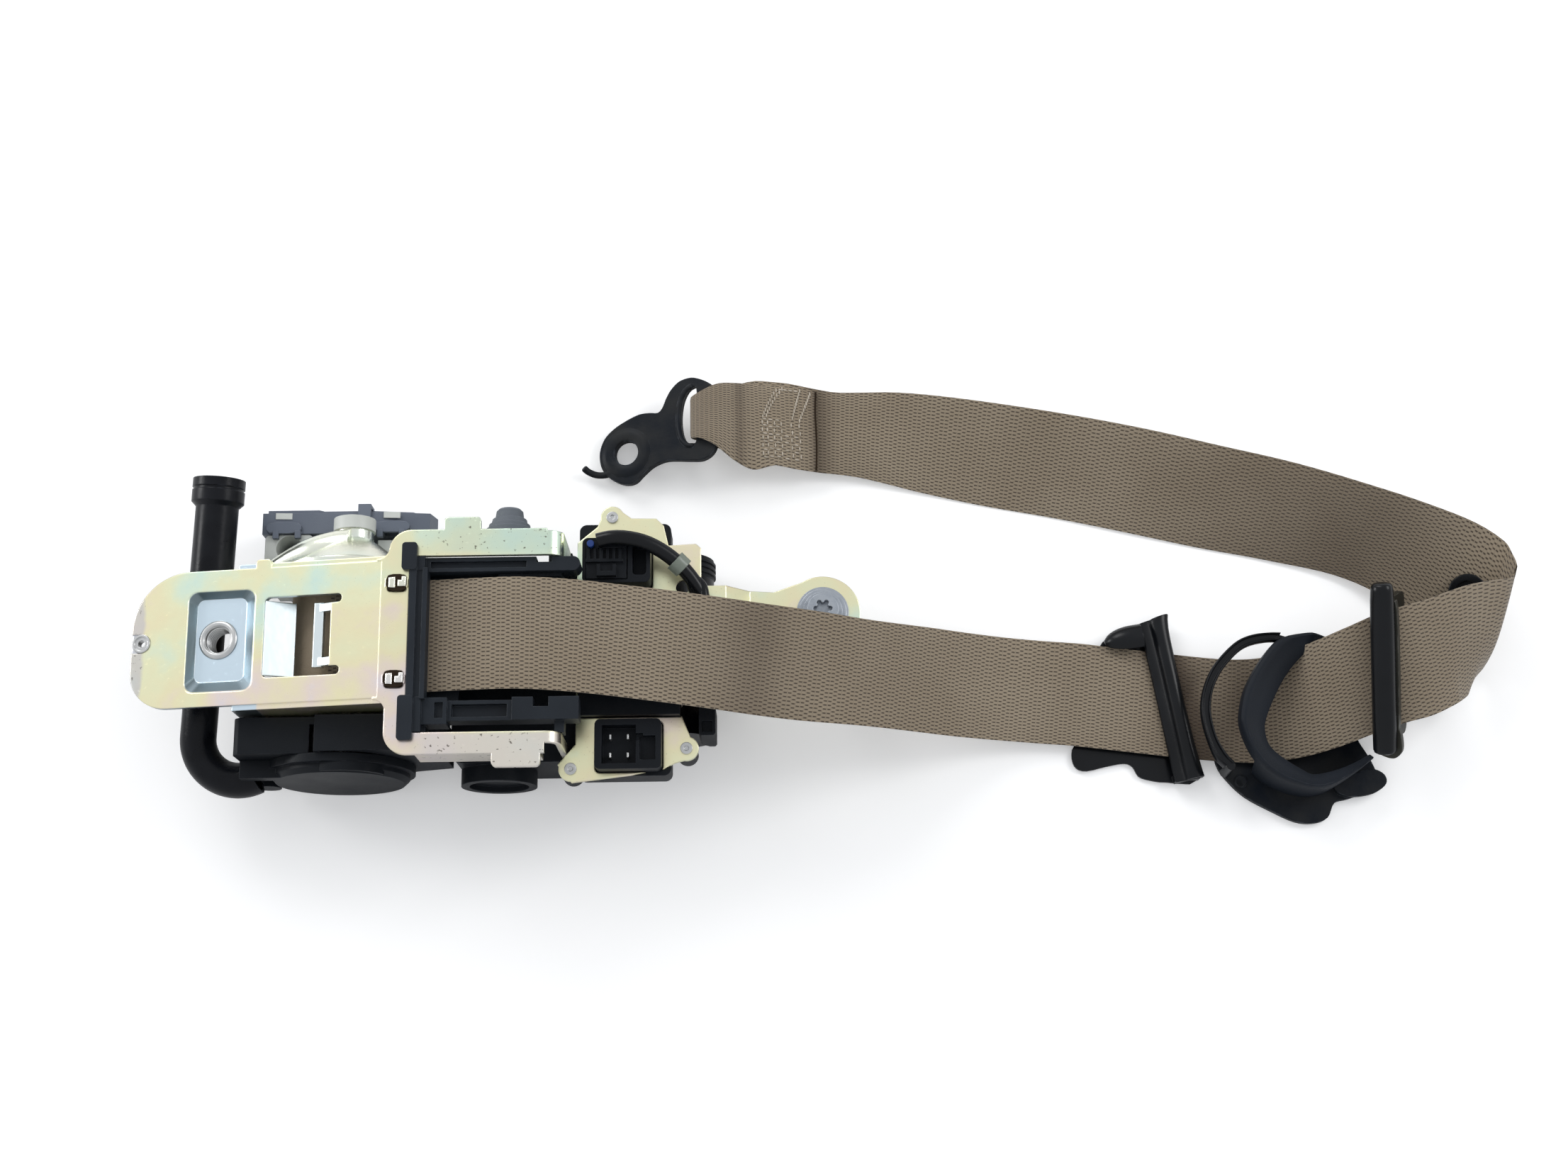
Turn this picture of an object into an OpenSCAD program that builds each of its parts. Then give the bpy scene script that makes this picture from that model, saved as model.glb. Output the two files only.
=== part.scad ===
// Front seat belt: retractor with a gas tube and a motor drive, webbing, belt guide,
// pillar loop, buckle tongue and sill anchor, laid out on a bench.
// Millimetres. Origin: middle of the threaded mounting hole, +X along the belt, +Z up.

/* [Webbing] */
// Width of the webbing
web_w = 47; // [44:0.5:49]
// Thickness of the webbing
web_t = 1.2; // [1:0.1:1.5]
// Radius of the wound webbing on the drum
roll_r = 24.5; // [20:0.5:25]

/* [Mounting tongue] */
// Thickness of the frame plate
plate_t = 2.5; // [2:0.1:3]
// Width of the mounting tongue
tongue_w = 57.5; // [56:0.5:60]
// Distance from the hole to the bend that ends the tongue
tongue_len = 71; // [70:0.5:74]
// Slope of the tongue against the rails, in degrees
tongue_tilt = 9; // [8:0.5:11]
// Depth of the pressed recess round the hole
recess_d = 4; // [3.5:0.1:4.5]
// Radius of the threaded mounting hole
thread_r = 5.55; // [5:0.05:6]
// Outer radius of the threaded collar
collar_r = 7.8; // [7:0.1:8.5]
// Length of the threaded collar
collar_len = 11; // [9:0.5:14]
// Outer radius of the locating eyelet
eyelet_r = 3.9; // [3.4:0.1:4.2]
// Radius of the hole in the eyelet
eyelet_hole_r = 1.5; // [1.2:0.1:1.8]

/* [Frame rails] */
// Length of the rails from the flare to their bent ends
rail_len = 52; // [50:0.5:54]
// Width of the upper rail
rail_n_w = 11.2; // [10:0.2:12.4]
// Width of the lower rail
rail_s_w = 8.8; // [8:0.2:10]
// Radius of the outer corners of the flare
flare_r = 9; // [7:0.5:11]
// Depth of the side walls below the spool axis
wall_drop = 24; // [22:0.5:26]

/* [Spool] */
// Height of the spool axis, below zero
spool_z = -22; // [-23:0.1:-21.5]
// Radius of the torsion bar
bar_r = 5.5; // [5:0.1:6]
// Radius of the spool's hub
hub_r = 12; // [10:0.5:14]
// Radius of the spool's flanges
flange_r = 26.2; // [25.8:0.1:26.4]
// Thickness of a spool flange
flange_t = 2; // [1.5:0.1:2.2]
// Number of teeth on the ratchet wheel
ratchet_n = 24; // [16:4:28]
// Radius over the ratchet teeth
ratchet_r = 22; // [20:0.5:22.5]
// Depth of a ratchet tooth
ratchet_depth = 3; // [2:0.1:3.4]

/* [Gas tube] */
// Outer radius of the gas tube
tube_r = 7.5; // [7:0.1:8]
// Wall of the gas tube
tube_wall = 1.5; // [1.2:0.1:2]
// Radius of the tube's bend, to its middle line
tube_bend = 17.5; // [16:0.5:18]
// Length of the straight part of the tube
tube_len = 86; // [82:1:88]
// Radius of the gas generator's body
gas_r = 9; // [8.6:0.1:9.4]
// Radius of the gas generator's cap
gas_cap_r = 11; // [10.4:0.1:11.4]
// Length of the gas generator's cap
gas_cap_len = 12; // [10:0.5:14]

/* [Motor module] */
// Thickness of the module's bracket
bracket_t = 2; // [1.6:0.1:2.4]
// Height of the bracket's upper face
bracket_z = -10; // [-11:0.1:-9.5]
// Radius of the motor can
motor_r = 17; // [16:0.2:17.4]
// Length of the motor can
motor_len = 70; // [66:1:72]
// Wall of the motor can
motor_wall = 1.2; // [1:0.1:1.6]
// Radius of the rivets
rivet_r = 2; // [1.6:0.1:2.4]
// Radius of the arm's fixing bolt
bolt_r = 5; // [4.5:0.1:5.5]
// Length of the bolt below its washer
bolt_len = 24; // [20:1:28]
// Drop of the bracket's arm
arm_drop = 10; // [8:0.5:12]
// Radius of the harness lead
lead_r = 3.2; // [2.8:0.1:3.4]

/* [Belt fittings] */
// Length of the belt guide's slot
guide_slot = 58; // [56:1:59]
// Thickness of the belt guide's steel
guide_t = 1.8; // [1.5:0.1:2]
// Length of the slot in the pillar loop
loop_slot = 56; // [54:1:60]
// Length of the buckle tongue's moulded bar
grip_len = 73; // [70:1:76]
// Thickness of the buckle tongue's steel
blade_t = 2.6; // [2.2:0.1:3]
// Radius of the stop button
button_r = 8; // [7:0.5:9]
// Thickness of the anchor plate
anchor_t = 3; // [2.6:0.1:3.4]
// Radius of the anchor plate's bolt hole
anchor_hole_r = 5.6; // [5:0.1:6]
// Slope of the anchor plate, in degrees
anchor_tilt = 17; // [15:0.5:18]

/* [Hidden] */
$fn = 64;

gap = 0.3;          // play between curved faces of different bodies
run = 0.05;         // running and seating clearance
ground_z = -62;

gold = [0.86, 0.82, 0.52];
zinc = [0.72, 0.74, 0.76];
black = [0.06, 0.06, 0.07];
slate = [0.33, 0.36, 0.42];
ivory = [0.86, 0.86, 0.80];
khaki = [0.55, 0.49, 0.41];
steel_dark = [0.10, 0.11, 0.14];

// Frame heights and places that follow from the tongue
half_w = tongue_w / 2;
bend_x = tongue_len * cos(tongue_tilt) - recess_d * sin(tongue_tilt);
rail_z = tongue_len * sin(tongue_tilt) + recess_d * cos(tongue_tilt);
rail_bottom = rail_z - plate_t;
flare_x = bend_x + 2.5;
opening_x = bend_x + 11;
rail_x1 = opening_x + 4 + rail_len;
flare_n = 41.7;
flare_s = -52;
rail_n_in = flare_n - rail_n_w;
rail_s_in = flare_s + rail_s_w;
wall_t = plate_t;
wall_n = half_w;
wall_s = -half_w - wall_t;
wall_inset = 0.4;

// Spool stack along Y
spool_x = 50;
web_y = -1.5;
drum_half = web_w / 2 + 0.5;
drum_n = web_y + drum_half;
drum_s = web_y - drum_half;
ratchet_y = drum_n + flange_t + run;
ratchet_t = wall_n - wall_inset - ratchet_y - gap;
bush_r = bar_r + 3.5;
boss_y = 52;
boss_r = 8.2;
cover_n = 66;

// A flat rectangle with round corners
module round_rect(x0, y0, x1, y1, r) {
    translate([x0 + r, y0]) square([x1 - x0 - 2 * r, y1 - y0]);
    translate([x0, y0 + r]) square([x1 - x0, y1 - y0 - 2 * r]);
    for (x = [x0 + r, x1 - r])
        for (y = [y0 + r, y1 - r])
            translate([x, y]) circle(r);
}

// A box with round corners seen from above
module round_box(x0, y0, z0, x1, y1, z1, r) {
    translate([0, 0, z0]) linear_extrude(z1 - z0) round_rect(x0, y0, x1, y1, r);
}

// A box given by its two corners
module block(a, b) {
    translate(a) cube(b - a);
}

// Turns a shape drawn along Z so that it lies along +Y on the spool axis, starting at y
module on_spool(y) {
    translate([spool_x, y, spool_z]) rotate([-90, 0, 0]) children();
}

// A disc or ring on the spool axis
module spool_ring(y0, y1, r_out, r_in) {
    on_spool(y0) difference() {
        cylinder(h = y1 - y0, r = r_out);
        if (r_in > 0) translate([0, 0, -1]) cylinder(h = y1 - y0 + 2, r = r_in);
    }
}

// Lies in the plane of the mounting tongue: u along it, v across it, w out of it
module in_tongue() {
    rotate([0, -tongue_tilt, 0]) children();
}

// Webbing route: middle of the web, then the heading and the dip of its width, then its width.
// The heading is that of the line from the north edge to the south edge.
start_z = spool_z + roll_r + web_t / 2 + gap;
WEB = [
    [46.5, web_y, start_z, -90, 0, 1],
    [68, web_y, start_z + 2, -90, 0, 1],
    [90, web_y, start_z + 4.6, -90, 0, 1],
    [106, web_y, 10.4, -90, 0, 1],
    [125, -1.7, 12.4, -90, 0, 1],
    [144, -3, 12.4, -92, 0, 1],
    [162, -4.8, 11.2, -94, 1, 1],
    [182, -7, 9, -95, 1, 1],
    [202, -9.2, 5.6, -96, 2, 1],
    [220, -11, 1.2, -97, 3, 1],
    [238, -12.4, -4, -98, 4, 1],
    [256, -13, -11.5, -98, 4, 1],
    [274, -13, -22, -98, 4, 1],
    [291, -13.2, -33, -98, 3, 1],
    [308, -14, -43, -98, 3, 1],
    [325, -15, -51, -98, 2, 1],
    [342, -16, -55.5, -97, 1, 1],
    [360, -17.2, -57, -97, 0, 1],
    [377, -19.3, -57, -97, 0, 1],
    [394, -21.4, -57, -97, 0, 1],
    [411, -23.5, -57, -97, 0, 1],
    [426, -25, -56.4, -96, 0, 1],
    [440, -25.6, -53.4, -92, -3, 1],
    [454, -24, -47, -86, -9, 1],
    [466, -21.2, -38.5, -79, -16, 1],
    [477, -17.8, -30.5, -73, -21, 1],
    [488, -14.2, -25.4, -71, -23, 1],
    [500, -10.4, -24.2, -71, -24, 1],
    [512, -6.2, -26.5, -73, -26, 1],
    [525, -0.6, -29.9, -87, -24, 1.03],
    [536.4, 3.1, -33.6, -107, -18, 1.1],
    [541.1, 5.5, -36.4, -107, -18, 1.1],
    [543.1, 9.2, -40.7, -107, -18, 1.1],
    [541.7, 13.6, -44.4, -107, -18, 1.1],
    [537.9, 18.1, -45.7, -107, -18, 1.1],
    [525, 29.6, -44.9, -112, -26, 1.05],
    [505, 42.4, -42.4, -117, -38, 1],
    [482, 52.4, -43, -109, -46, 1],
    [452, 63, -46.2, -106, -39, 1],
    [420, 71.4, -49, -104, -32, 1],
    [389, 79.2, -50, -102, -29, 1],
    [358, 86.2, -50, -100, -30, 1],
    [327, 92.4, -50, -98, -30, 1],
    [296, 98.6, -50.6, -95, -28, 0.97],
    [268, 103.8, -52, -93, -20, 0.9],
    [248, 106.6, -52.4, -90, -10, 0.84],
    [230, 108.6, -51, -88, 0, 0.84],
    [212, 109.6, -48.4, -90, 0, 0.72]
];
web_steps = 2;

function web_mix(a, b, c, d, t) =
    0.5 * (2 * b + (c - a) * t + (2 * a - 5 * b + 4 * c - d) * t * t + (3 * b - a - 3 * c + d) * t * t * t);
function web_station(k) =
    let (n = len(WEB), i = min(floor(k / web_steps), n - 2), t = k / web_steps - i)
    web_mix(WEB[max(i - 1, 0)], WEB[i], WEB[i + 1], WEB[min(i + 2, n - 1)], t);
function place(s) = [s[0], s[1], s[2]];
function unit(v) = v / norm(v);
web_last = (len(WEB) - 1) * web_steps;
function web_along(k) =
    unit(place(web_station(min(k + 0.5, web_last))) - place(web_station(max(k - 0.5, 0))));
function web_across(k) =
    let (s = web_station(k)) [cos(s[3]) * cos(s[4]), sin(s[3]) * cos(s[4]), sin(s[4])];

// The four corners of the web at step k
function web_corners(k) =
    let (s = web_station(k), c = place(s), w = web_across(k) * web_w * s[5] / 2,
         n = unit(cross(w, web_along(k))) * web_t / 2)
    [c - w + n, c + w + n, c + w - n, c - w - n];

// One stretch of webbing, between two stations of the route
module web_run(first, last) {
    k0 = first * web_steps;
    k1 = last * web_steps;
    rings = k1 - k0;
    points = [for (k = [k0:k1]) each web_corners(k)];
    sides = [for (i = [0:rings - 1]) for (j = [0:3])
        [4 * i + j, 4 * i + (j + 1) % 4, 4 * i + 4 + (j + 1) % 4, 4 * i + 4 + j]];
    quads = [for (q = sides) each [[q[0], q[2], q[1]], [q[0], q[3], q[2]]]];
    e = 4 * rings;
    ends = [[0, 1, 2], [0, 2, 3], [e, e + 2, e + 1], [e, e + 3, e + 2]];
    color(khaki) polyhedron(points, concat(quads, ends));
}

// Puts children on the web: x along it, y to its north edge, z out of its upper face
module on_web(station) {
    k = station * web_steps;
    c = place(web_station(k));
    t = web_along(k);
    n = unit(cross(web_across(k), t));
    w = cross(n, t);
    multmatrix([
        [t[0], w[0], n[0], c[0]],
        [t[1], w[1], n[1], c[1]],
        [t[2], w[2], n[2], c[2]],
        [0, 0, 0, 1]
    ]) children();
}

// Outline of the mounting tongue in its own plane, with the tip at the left
module tongue_outline() {
    r_n = 24;
    r_s = 16;
    translate([-12, half_w - r_n]) circle(r_n);
    translate([-20, -half_w + r_s]) circle(r_s);
    polygon([[-12, half_w], [tongue_len, half_w], [tongue_len, -half_w], [-20, -half_w],
             [-36, -half_w + r_s], [-36, half_w - r_n]]);
    translate([16.5, half_w - 1]) round_rect(0, 0, 6.5, 4.6, 1.6);
}

// Staple lanced out of the window's right edge
module window_staple() {
    w0 = recess_d - plate_t - 2.6;
    block([41.5, -14, w0], [45.5, 13, w0 + plate_t]);
    for (v = [-13.6, 9.2])
        translate([44, v, w0]) rotate([0, -14, 0]) cube([11, 3.4, plate_t]);
}

// Tongue with its pressed recess, window, staple and eyelet notch
module tongue_plate_body() {
    w0 = recess_d - plate_t;
    pan = [-12.3, -23, 17, 20];
    draft = 2.6;
    in_tongue() {
        difference() {
            union() {
                translate([0, 0, w0]) linear_extrude(plate_t) tongue_outline();
                hull() {
                    round_box(pan[0] - 1, pan[1] - 1, w0, pan[2] + 1, pan[3] + 1, w0 + 0.4, 5, $fn = 32);
                    round_box(pan[0] + draft - 2, pan[1] + draft + 1, -plate_t, pan[2] - draft + 1,
                              pan[3] - draft, -plate_t + 0.4, 4, $fn = 32);
                }
            }
            hull() {
                round_box(pan[0], pan[1], recess_d, pan[2], pan[3], recess_d + 0.4, 4, $fn = 32);
                round_box(pan[0] + draft, pan[1] + 2 * draft, 0, pan[2] - 2 * draft, pan[3] - draft,
                          0.2, 3, $fn = 32);
            }
            translate([0, 0, -plate_t - 1]) cylinder(h = plate_t + 2, r = collar_r + run);
            translate([0, 0, w0 - 1]) linear_extrude(plate_t + 2) {
                round_rect(21, -18, 49.6, 16, 2.4);
                translate([40, 12.2]) round_rect(0, 0, 14, 3.8, 1.8);
                translate([40, -18]) round_rect(0, 0, 14, 3.8, 1.8);
            }
            translate([-31.8, -0.9, w0 - 1]) cylinder(h = plate_t + 2, r = eyelet_r + run);
            block([-40, -4.9, recess_d - 0.8], [-31.8, 3.1, recess_d + 1]);
        }
        window_staple();
        translate([20.2, -16.6, w0 + 0.3]) rotate([0, 34, 0]) cube([12.8, 31.4, 1.6]);
    }
}

// Flat part of the frame: flare and the two rails round the belt opening
module rail_outline() {
    difference() {
        union() {
            translate([bend_x - 0.4, -half_w]) square([12, tongue_w]);
            round_rect(flare_x, flare_s, flare_x + 30, flare_n, flare_r);
            translate([opening_x, flare_s]) square([rail_x1 - opening_x, flare_n - flare_s]);
            translate([94.3, flare_n - 2]) round_rect(0, 0, 15, 7.2, 1.5);
            translate([115.5, flare_s - 5.6]) round_rect(0, 0, 19.5, 7, 2);
            for (v = [[half_w - 0.2, 1], [-half_w + 0.2, -1]])
                translate([flare_x - 5, v[0]]) scale([1, v[1]]) difference() {
                    square([6, 6]);
                    translate([0, 6]) circle(5.2);
                }
        }
        translate([opening_x, rail_s_in]) square([rail_len + 40, rail_n_in - rail_s_in]);
        for (v = [[15.5, 22.5], [-24.7, -17.7]])
            translate([bend_x + 2.2, v[0]]) round_rect(0, 0, 7.6, v[1] - v[0], 1.2);
    }
}

// Rounded end of a rail, bent down to a foot that carries the motor module
module rail_end(y0, y1, foot_z) {
    bend = 4;
    translate([rail_x1, y1, rail_z - plate_t - bend]) rotate([90, 0, 0])
        rotate_extrude(angle = 90) translate([bend, 0]) square([plate_t, y1 - y0]);
    block([rail_x1 + bend, y0, foot_z], [rail_x1 + bend + plate_t, y1, rail_bottom - bend]);
}

// Side wall under the tongue's edge, with the bearing hole of the spool
module side_wall(y0) {
    top_l = 8 * tan(tongue_tilt) + recess_d - 1;
    difference() {
        translate([0, y0 + wall_t, 0]) rotate([90, 0, 0]) linear_extrude(wall_t) {
            polygon([[8, top_l], [bend_x, rail_z - 0.6], [opening_x, rail_z - 0.6],
                     [opening_x, spool_z - 6], [spool_x + 24, spool_z - wall_drop],
                     [spool_x - 22, spool_z - wall_drop], [8, spool_z - 2]]);
            translate([spool_x, spool_z]) circle(wall_drop + 4);
        }
        on_spool(y0 - 1) cylinder(h = wall_t + 2, r = bush_r + run);
        translate([pawl_x, y0 - 1, pawl_z]) rotate([-90, 0, 0]) cylinder(h = wall_t + 2, r = pin_r + run);
    }
}

module retractor_frame() {
    foot_z = bracket_z - bracket_t - 8;
    color(gold) {
        tongue_plate_body();
        translate([0, 0, rail_bottom]) linear_extrude(plate_t) rail_outline();
        for (v = [18.9, -21.3])
            block([bend_x + 1.4, v - 1.8, rail_z - 0.4], [bend_x + 10.6, v + 1.8, rail_z + 1.3]);
        rail_end(rail_n_in, flare_n - 1, foot_z);
        rail_end(flare_s + 4.2, rail_s_in, foot_z);
        block([96, flare_n - plate_t, -14], [rail_x1 - 2, flare_n, rail_bottom + 0.1]);
        block([opening_x + 4, flare_s, -2], [rail_x1 - 2, flare_s + plate_t, rail_bottom + 0.1]);
        difference() {
            union() {
                side_wall(wall_n - wall_inset);
                side_wall(wall_s + wall_inset);
            }
            in_tongue() translate([-60, -60, recess_d]) cube([tongue_len + 60, 120, 30]);
        }
    }
}

module threaded_collar() {
    color(zinc) in_tongue() difference() {
        union() {
            translate([0, 0, 0.5 - collar_len]) cylinder(h = collar_len, r = collar_r);
            translate([0, 0, 0.5 - collar_len]) cylinder(h = collar_len - 0.5 - plate_t, r = collar_r + 2.2);
        }
        translate([0, 0, -collar_len]) cylinder(h = collar_len + 2, r = thread_r);
    }
}

module locator_eyelet() {
    color(zinc) in_tongue() translate([-31.8, -0.9, recess_d - plate_t - 1]) difference() {
        cylinder(h = plate_t + 1.4, r = eyelet_r);
        translate([0, 0, -1]) cylinder(h = plate_t + 4, r = eyelet_hole_r);
        translate([0, 0, plate_t + 0.9]) cylinder(h = 2, r = eyelet_r - 1);
    }
}

// Plastic frame that leads the webbing out between the rails
module web_guide() {
    bar_x = opening_x + 0.3;
    lug_z = rail_z + 0.05;
    arm_top = rail_z - 2.4;
    n_in = 24.2;
    s_in = -28.6;
    arm_end = 150;
    color(black) {
        difference() {
            block([bar_x, s_in - 1, rail_z - 5.8], [bar_x + 7.4, n_in + 1, rail_z + 1.6]);
            block([bar_x + 3, s_in - 2, rail_z + 0.2], [bar_x + 5.4, n_in + 2, rail_z + 3]);
        }
        round_box(bar_x - 3.2, n_in, lug_z, bar_x + 3, n_in + 11.6, lug_z + 2.2, 1.4);
        round_box(bar_x - 3.2, -46.6, lug_z, bar_x + 3, s_in + 0.4, lug_z + 2.2, 1.4);
        block([bar_x, n_in, 1], [bar_x + 6, rail_n_in - 0.3, lug_z + 0.5]);
        block([bar_x, rail_s_in + 0.3, 1], [bar_x + 6, s_in, lug_z + 0.5]);
        difference() {
            union() {
                block([bar_x + 5, n_in, 3], [arm_end - 3, rail_n_in - 0.3, arm_top]);
                translate([arm_end - 3, (n_in + rail_n_in - 0.3) / 2, 3])
                    cylinder(h = arm_top - 3, r = (rail_n_in - 0.3 - n_in) / 2);
            }
            block([132, rail_n_in - 2.6, 0], [138.4, rail_n_in + 1, 30]);
            block([bar_x + 8, n_in + 1.6, arm_top - 2], [128, rail_n_in - 2, arm_top + 1]);
        }
        block([116, n_in - 1.2, -3], [142, n_in + 0.6, 8]);
        difference() {
            union() {
                block([bar_x + 5, -39.6, 3], [97, s_in, arm_top + 0.8]);
                block([96, -38, 3], [124, s_in - 1, arm_top - 1]);
                block([123, -38, 3], [arm_end, s_in, arm_top]);
            }
            block([98.6, -36.4, arm_top - 4], [121, s_in - 2.6, arm_top + 2]);
            block([131.5, s_in - 4, 0], [137.8, s_in + 2, 30]);
            block([92, -37, arm_top - 1.4], [95.4, s_in - 2, arm_top + 2]);
        }
        for (y = [[rail_s_in + 0.3, -39], [-38.2, s_in]])
            block([bar_x + 5.6, y[0], 3], [bar_x + 7.4, y[1], arm_top - 2]);
        block([140, rail_s_in + 0.3, 3], [144, -37, arm_top - 3]);
    }
}

module spool_drum() {
    color([0.62, 0.63, 0.65]) {
        spool_ring(drum_s, drum_n, hub_r, bar_r + run);
        spool_ring(drum_n, drum_n + flange_t, flange_r, bar_r + run);
        spool_ring(drum_s - flange_t + 0.4, drum_s, flange_r, bar_r + run);
    }
}

module torsion_bar() {
    color(zinc) {
        spool_ring(spring_s1 + 2, boss_y - 2, bar_r, 0);
        on_spool(boss_y - 2) cylinder(h = 1.6, r = bar_r - 1);
    }
}

module web_roll() {
    color(khaki) spool_ring(web_y - web_w / 2, web_y + web_w / 2, roll_r, hub_r + run);
}

// Saw teeth on a rim, drawn flat
module ratchet_outline(n, r, depth) {
    step = 360 / n;
    polygon([for (i = [0:n - 1]) each [
        r * [cos(i * step), sin(i * step)],
        (r - depth) * [cos(i * step + 1.5), sin(i * step + 1.5)],
        (r - depth) * [cos(i * step + step * 0.3), sin(i * step + step * 0.3)]
    ]]);
}

module ratchet_wheel() {
    color(zinc) on_spool(ratchet_y) difference() {
        linear_extrude(ratchet_t) ratchet_outline(ratchet_n, ratchet_r, ratchet_depth);
        translate([0, 0, -1]) cylinder(h = ratchet_t + 2, r = bar_r + run);
    }
}

// Flanged plain bearing in a side wall
module north_bush() {
    color(ivory) {
        spool_ring(wall_n - wall_inset, wall_n + wall_t - wall_inset, bush_r, bar_r + run);
        spool_ring(wall_n + wall_t - wall_inset + run, wall_n + wall_t + 1, bush_r + 2, bar_r + run);
    }
}

module south_bush() {
    color(ivory) {
        spool_ring(wall_s + wall_inset, wall_s + wall_t + wall_inset, bush_r, bar_r + run);
        spool_ring(wall_s - 1, wall_s + wall_inset - run, bush_r + 2, bar_r + run);
    }
}

// Place of the pawl's pin, beside the ratchet wheel
pawl_angle = 18;
pawl_reach = ratchet_r + 8;
pawl_x = spool_x + pawl_reach * cos(pawl_angle);
pawl_z = spool_z - pawl_reach * sin(pawl_angle);
pin_r = 2.4;

module pawl_pin() {
    color(zinc) translate([pawl_x, ratchet_y, pawl_z]) rotate([-90, 0, 0])
        cylinder(h = wall_n - 0.5 + wall_t - ratchet_y, r = pin_r);
}

module lock_pawl() {
    arm = 16;
    color(zinc) translate([pawl_x, ratchet_y + ratchet_t - 0.3, pawl_z]) rotate([90, 0, 0])
        difference() {
            linear_extrude(ratchet_t - 0.6) {
                circle(5);
                polygon([[5, 0], [3.4, arm - 2], [-3.6, arm + 1], [-5.4, arm - 2.4], [-4, 4], [-5, 0]]);
            }
            translate([0, 0, -1]) cylinder(h = ratchet_t + 2, r = pin_r + run);
        }
}

// Bell-shaped steel housing over the locking end of the spool
module lock_housing() {
    y0 = wall_n + wall_t - wall_inset;
    top = boss_y - y0;
    t = 1.5;
    color(zinc) on_spool(y0 + run) difference() {
        rotate_extrude() difference() {
            polygon([[boss_r - t, top], [boss_r, top], [boss_r, 17], [11, 15], [18, 10], [26, 4],
                     [29, 2.4], [31, 2.4], [31, 0], [boss_r - t, 0]]);
            polygon([[boss_r - t - 1, top - t], [boss_r - t, top - t], [boss_r - t, 15.4], [10, 13.6],
                     [17, 8.6], [25, 2.4], [27, -1], [boss_r - t - 1, -1]]);
        }
        block([-40, 8, -1], [40, 40, 40]);
    }
}

module boss_cap() {
    color(ivory) on_spool(boss_y + run) difference() {
        cylinder(h = 5.6, r = boss_r + 0.7);
        translate([0, 0, 4.6]) cylinder(h = 3, r = boss_r - 1.4);
    }
}

// Crash sensor: a ball in a cup below a lever, in a plastic base with a cover
sensor_x = 20;
sensor_y = 48.5;
sensor_floor = -56;
sensor_top = -32;
ball_r = 4.5;
ball_z = sensor_floor + 3 + ball_r;

module sensor_base() {
    color(ivory) difference() {
        union() {
            round_box(9.4, 41.6, sensor_floor, 30, 54.6, sensor_top, 2);
            round_box(28, 44, sensor_floor, 76, 54.6, -50, 2);
            block([58, 42, -50.1], [68.4, 52, -33]);
            block([12, wall_n + wall_t - wall_inset + run, -54], [18, 42, -46]);
        }
        translate([sensor_x, sensor_y, sensor_floor + 3 + ball_r]) cylinder(h = 40, r = ball_r + 1.2);
        translate([sensor_x, sensor_y, ball_z]) sphere(ball_r + gap);
        block([sensor_x - 3, sensor_y - 2, ball_z + ball_r + 0.4], [28.4, sensor_y + 2, sensor_top + 1]);
    }
}

module sensor_ball() {
    color(zinc) translate([sensor_x, sensor_y, ball_z]) sphere(ball_r);
}

lever_z = ball_z + ball_r + 1.4;
module sensor_lever() {
    color(ivory) difference() {
        union() {
            translate([sensor_x, sensor_y, lever_z - 0.9]) cylinder(h = 1.4, r = 4);
            block([sensor_x, sensor_y - 1.5, lever_z - 0.6], [27, sensor_y + 1.5, lever_z + 0.5]);
            translate([27, sensor_y + 1.5, lever_z]) rotate([90, 0, 0]) cylinder(h = 3, r = 0.9);
        }
        translate([sensor_x, sensor_y, lever_z - 3]) cylinder(h = 2.4, r = 1.4);
    }
}

// Grey cover over the sensor and the locking gear
module sensor_cover() {
    y0 = 54.9;
    color(slate) difference() {
        union() {
            translate([0, cover_n - 1.6, 0]) rotate([90, 0, 0]) linear_extrude(cover_n - 1.6 - y0)
                polygon([[8, -60], [8, -31.6], [34, -31.4], [58, -31.4], [80, -35], [82, -44], [76, -60]]);
            translate([0, cover_n, 0]) rotate([90, 0, 0]) linear_extrude(1.7)
                polygon([[10, -58], [10, -33], [32, -33], [34, -35], [54, -35], [72, -38], [78, -45], [74, -58]]);
            for (x = [13, 58])
                block([x, y0 - 2.4, -31.6], [x + 12, y0 + 1, -29.4]);
        }
        for (x = [15.5, 60.5])
            block([x, y0 - 3, -38], [x + 7, y0 + 2.6, -27]);
        block([16, y0 + 3, -52], [74, cover_n - 3, -44]);
    }
}

module sensor_clip() {
    color(black) {
        block([49.5, 58, -31.35], [55, 67.6, -29.8]);
        block([49.5, cover_n + 0.05, -38], [55, 67.6, -31.35]);
    }
}

module rubber_dome() {
    x = rail_x1 - 17.5;
    z = -1.5;
    profile = [[0, 0], [11, 0], [11, 2], [9.8, 2.6], [9.8, 4], [8.8, 4.6], [8.6, 6], [7.6, 6.6],
               [7.2, 8.4], [6, 9], [5.6, 12], [4.6, 13], [0, 13]];
    color(slate) translate([x, flare_n + run, z]) rotate([-90, 0, 0]) rotate_extrude() polygon(profile);
}

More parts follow.
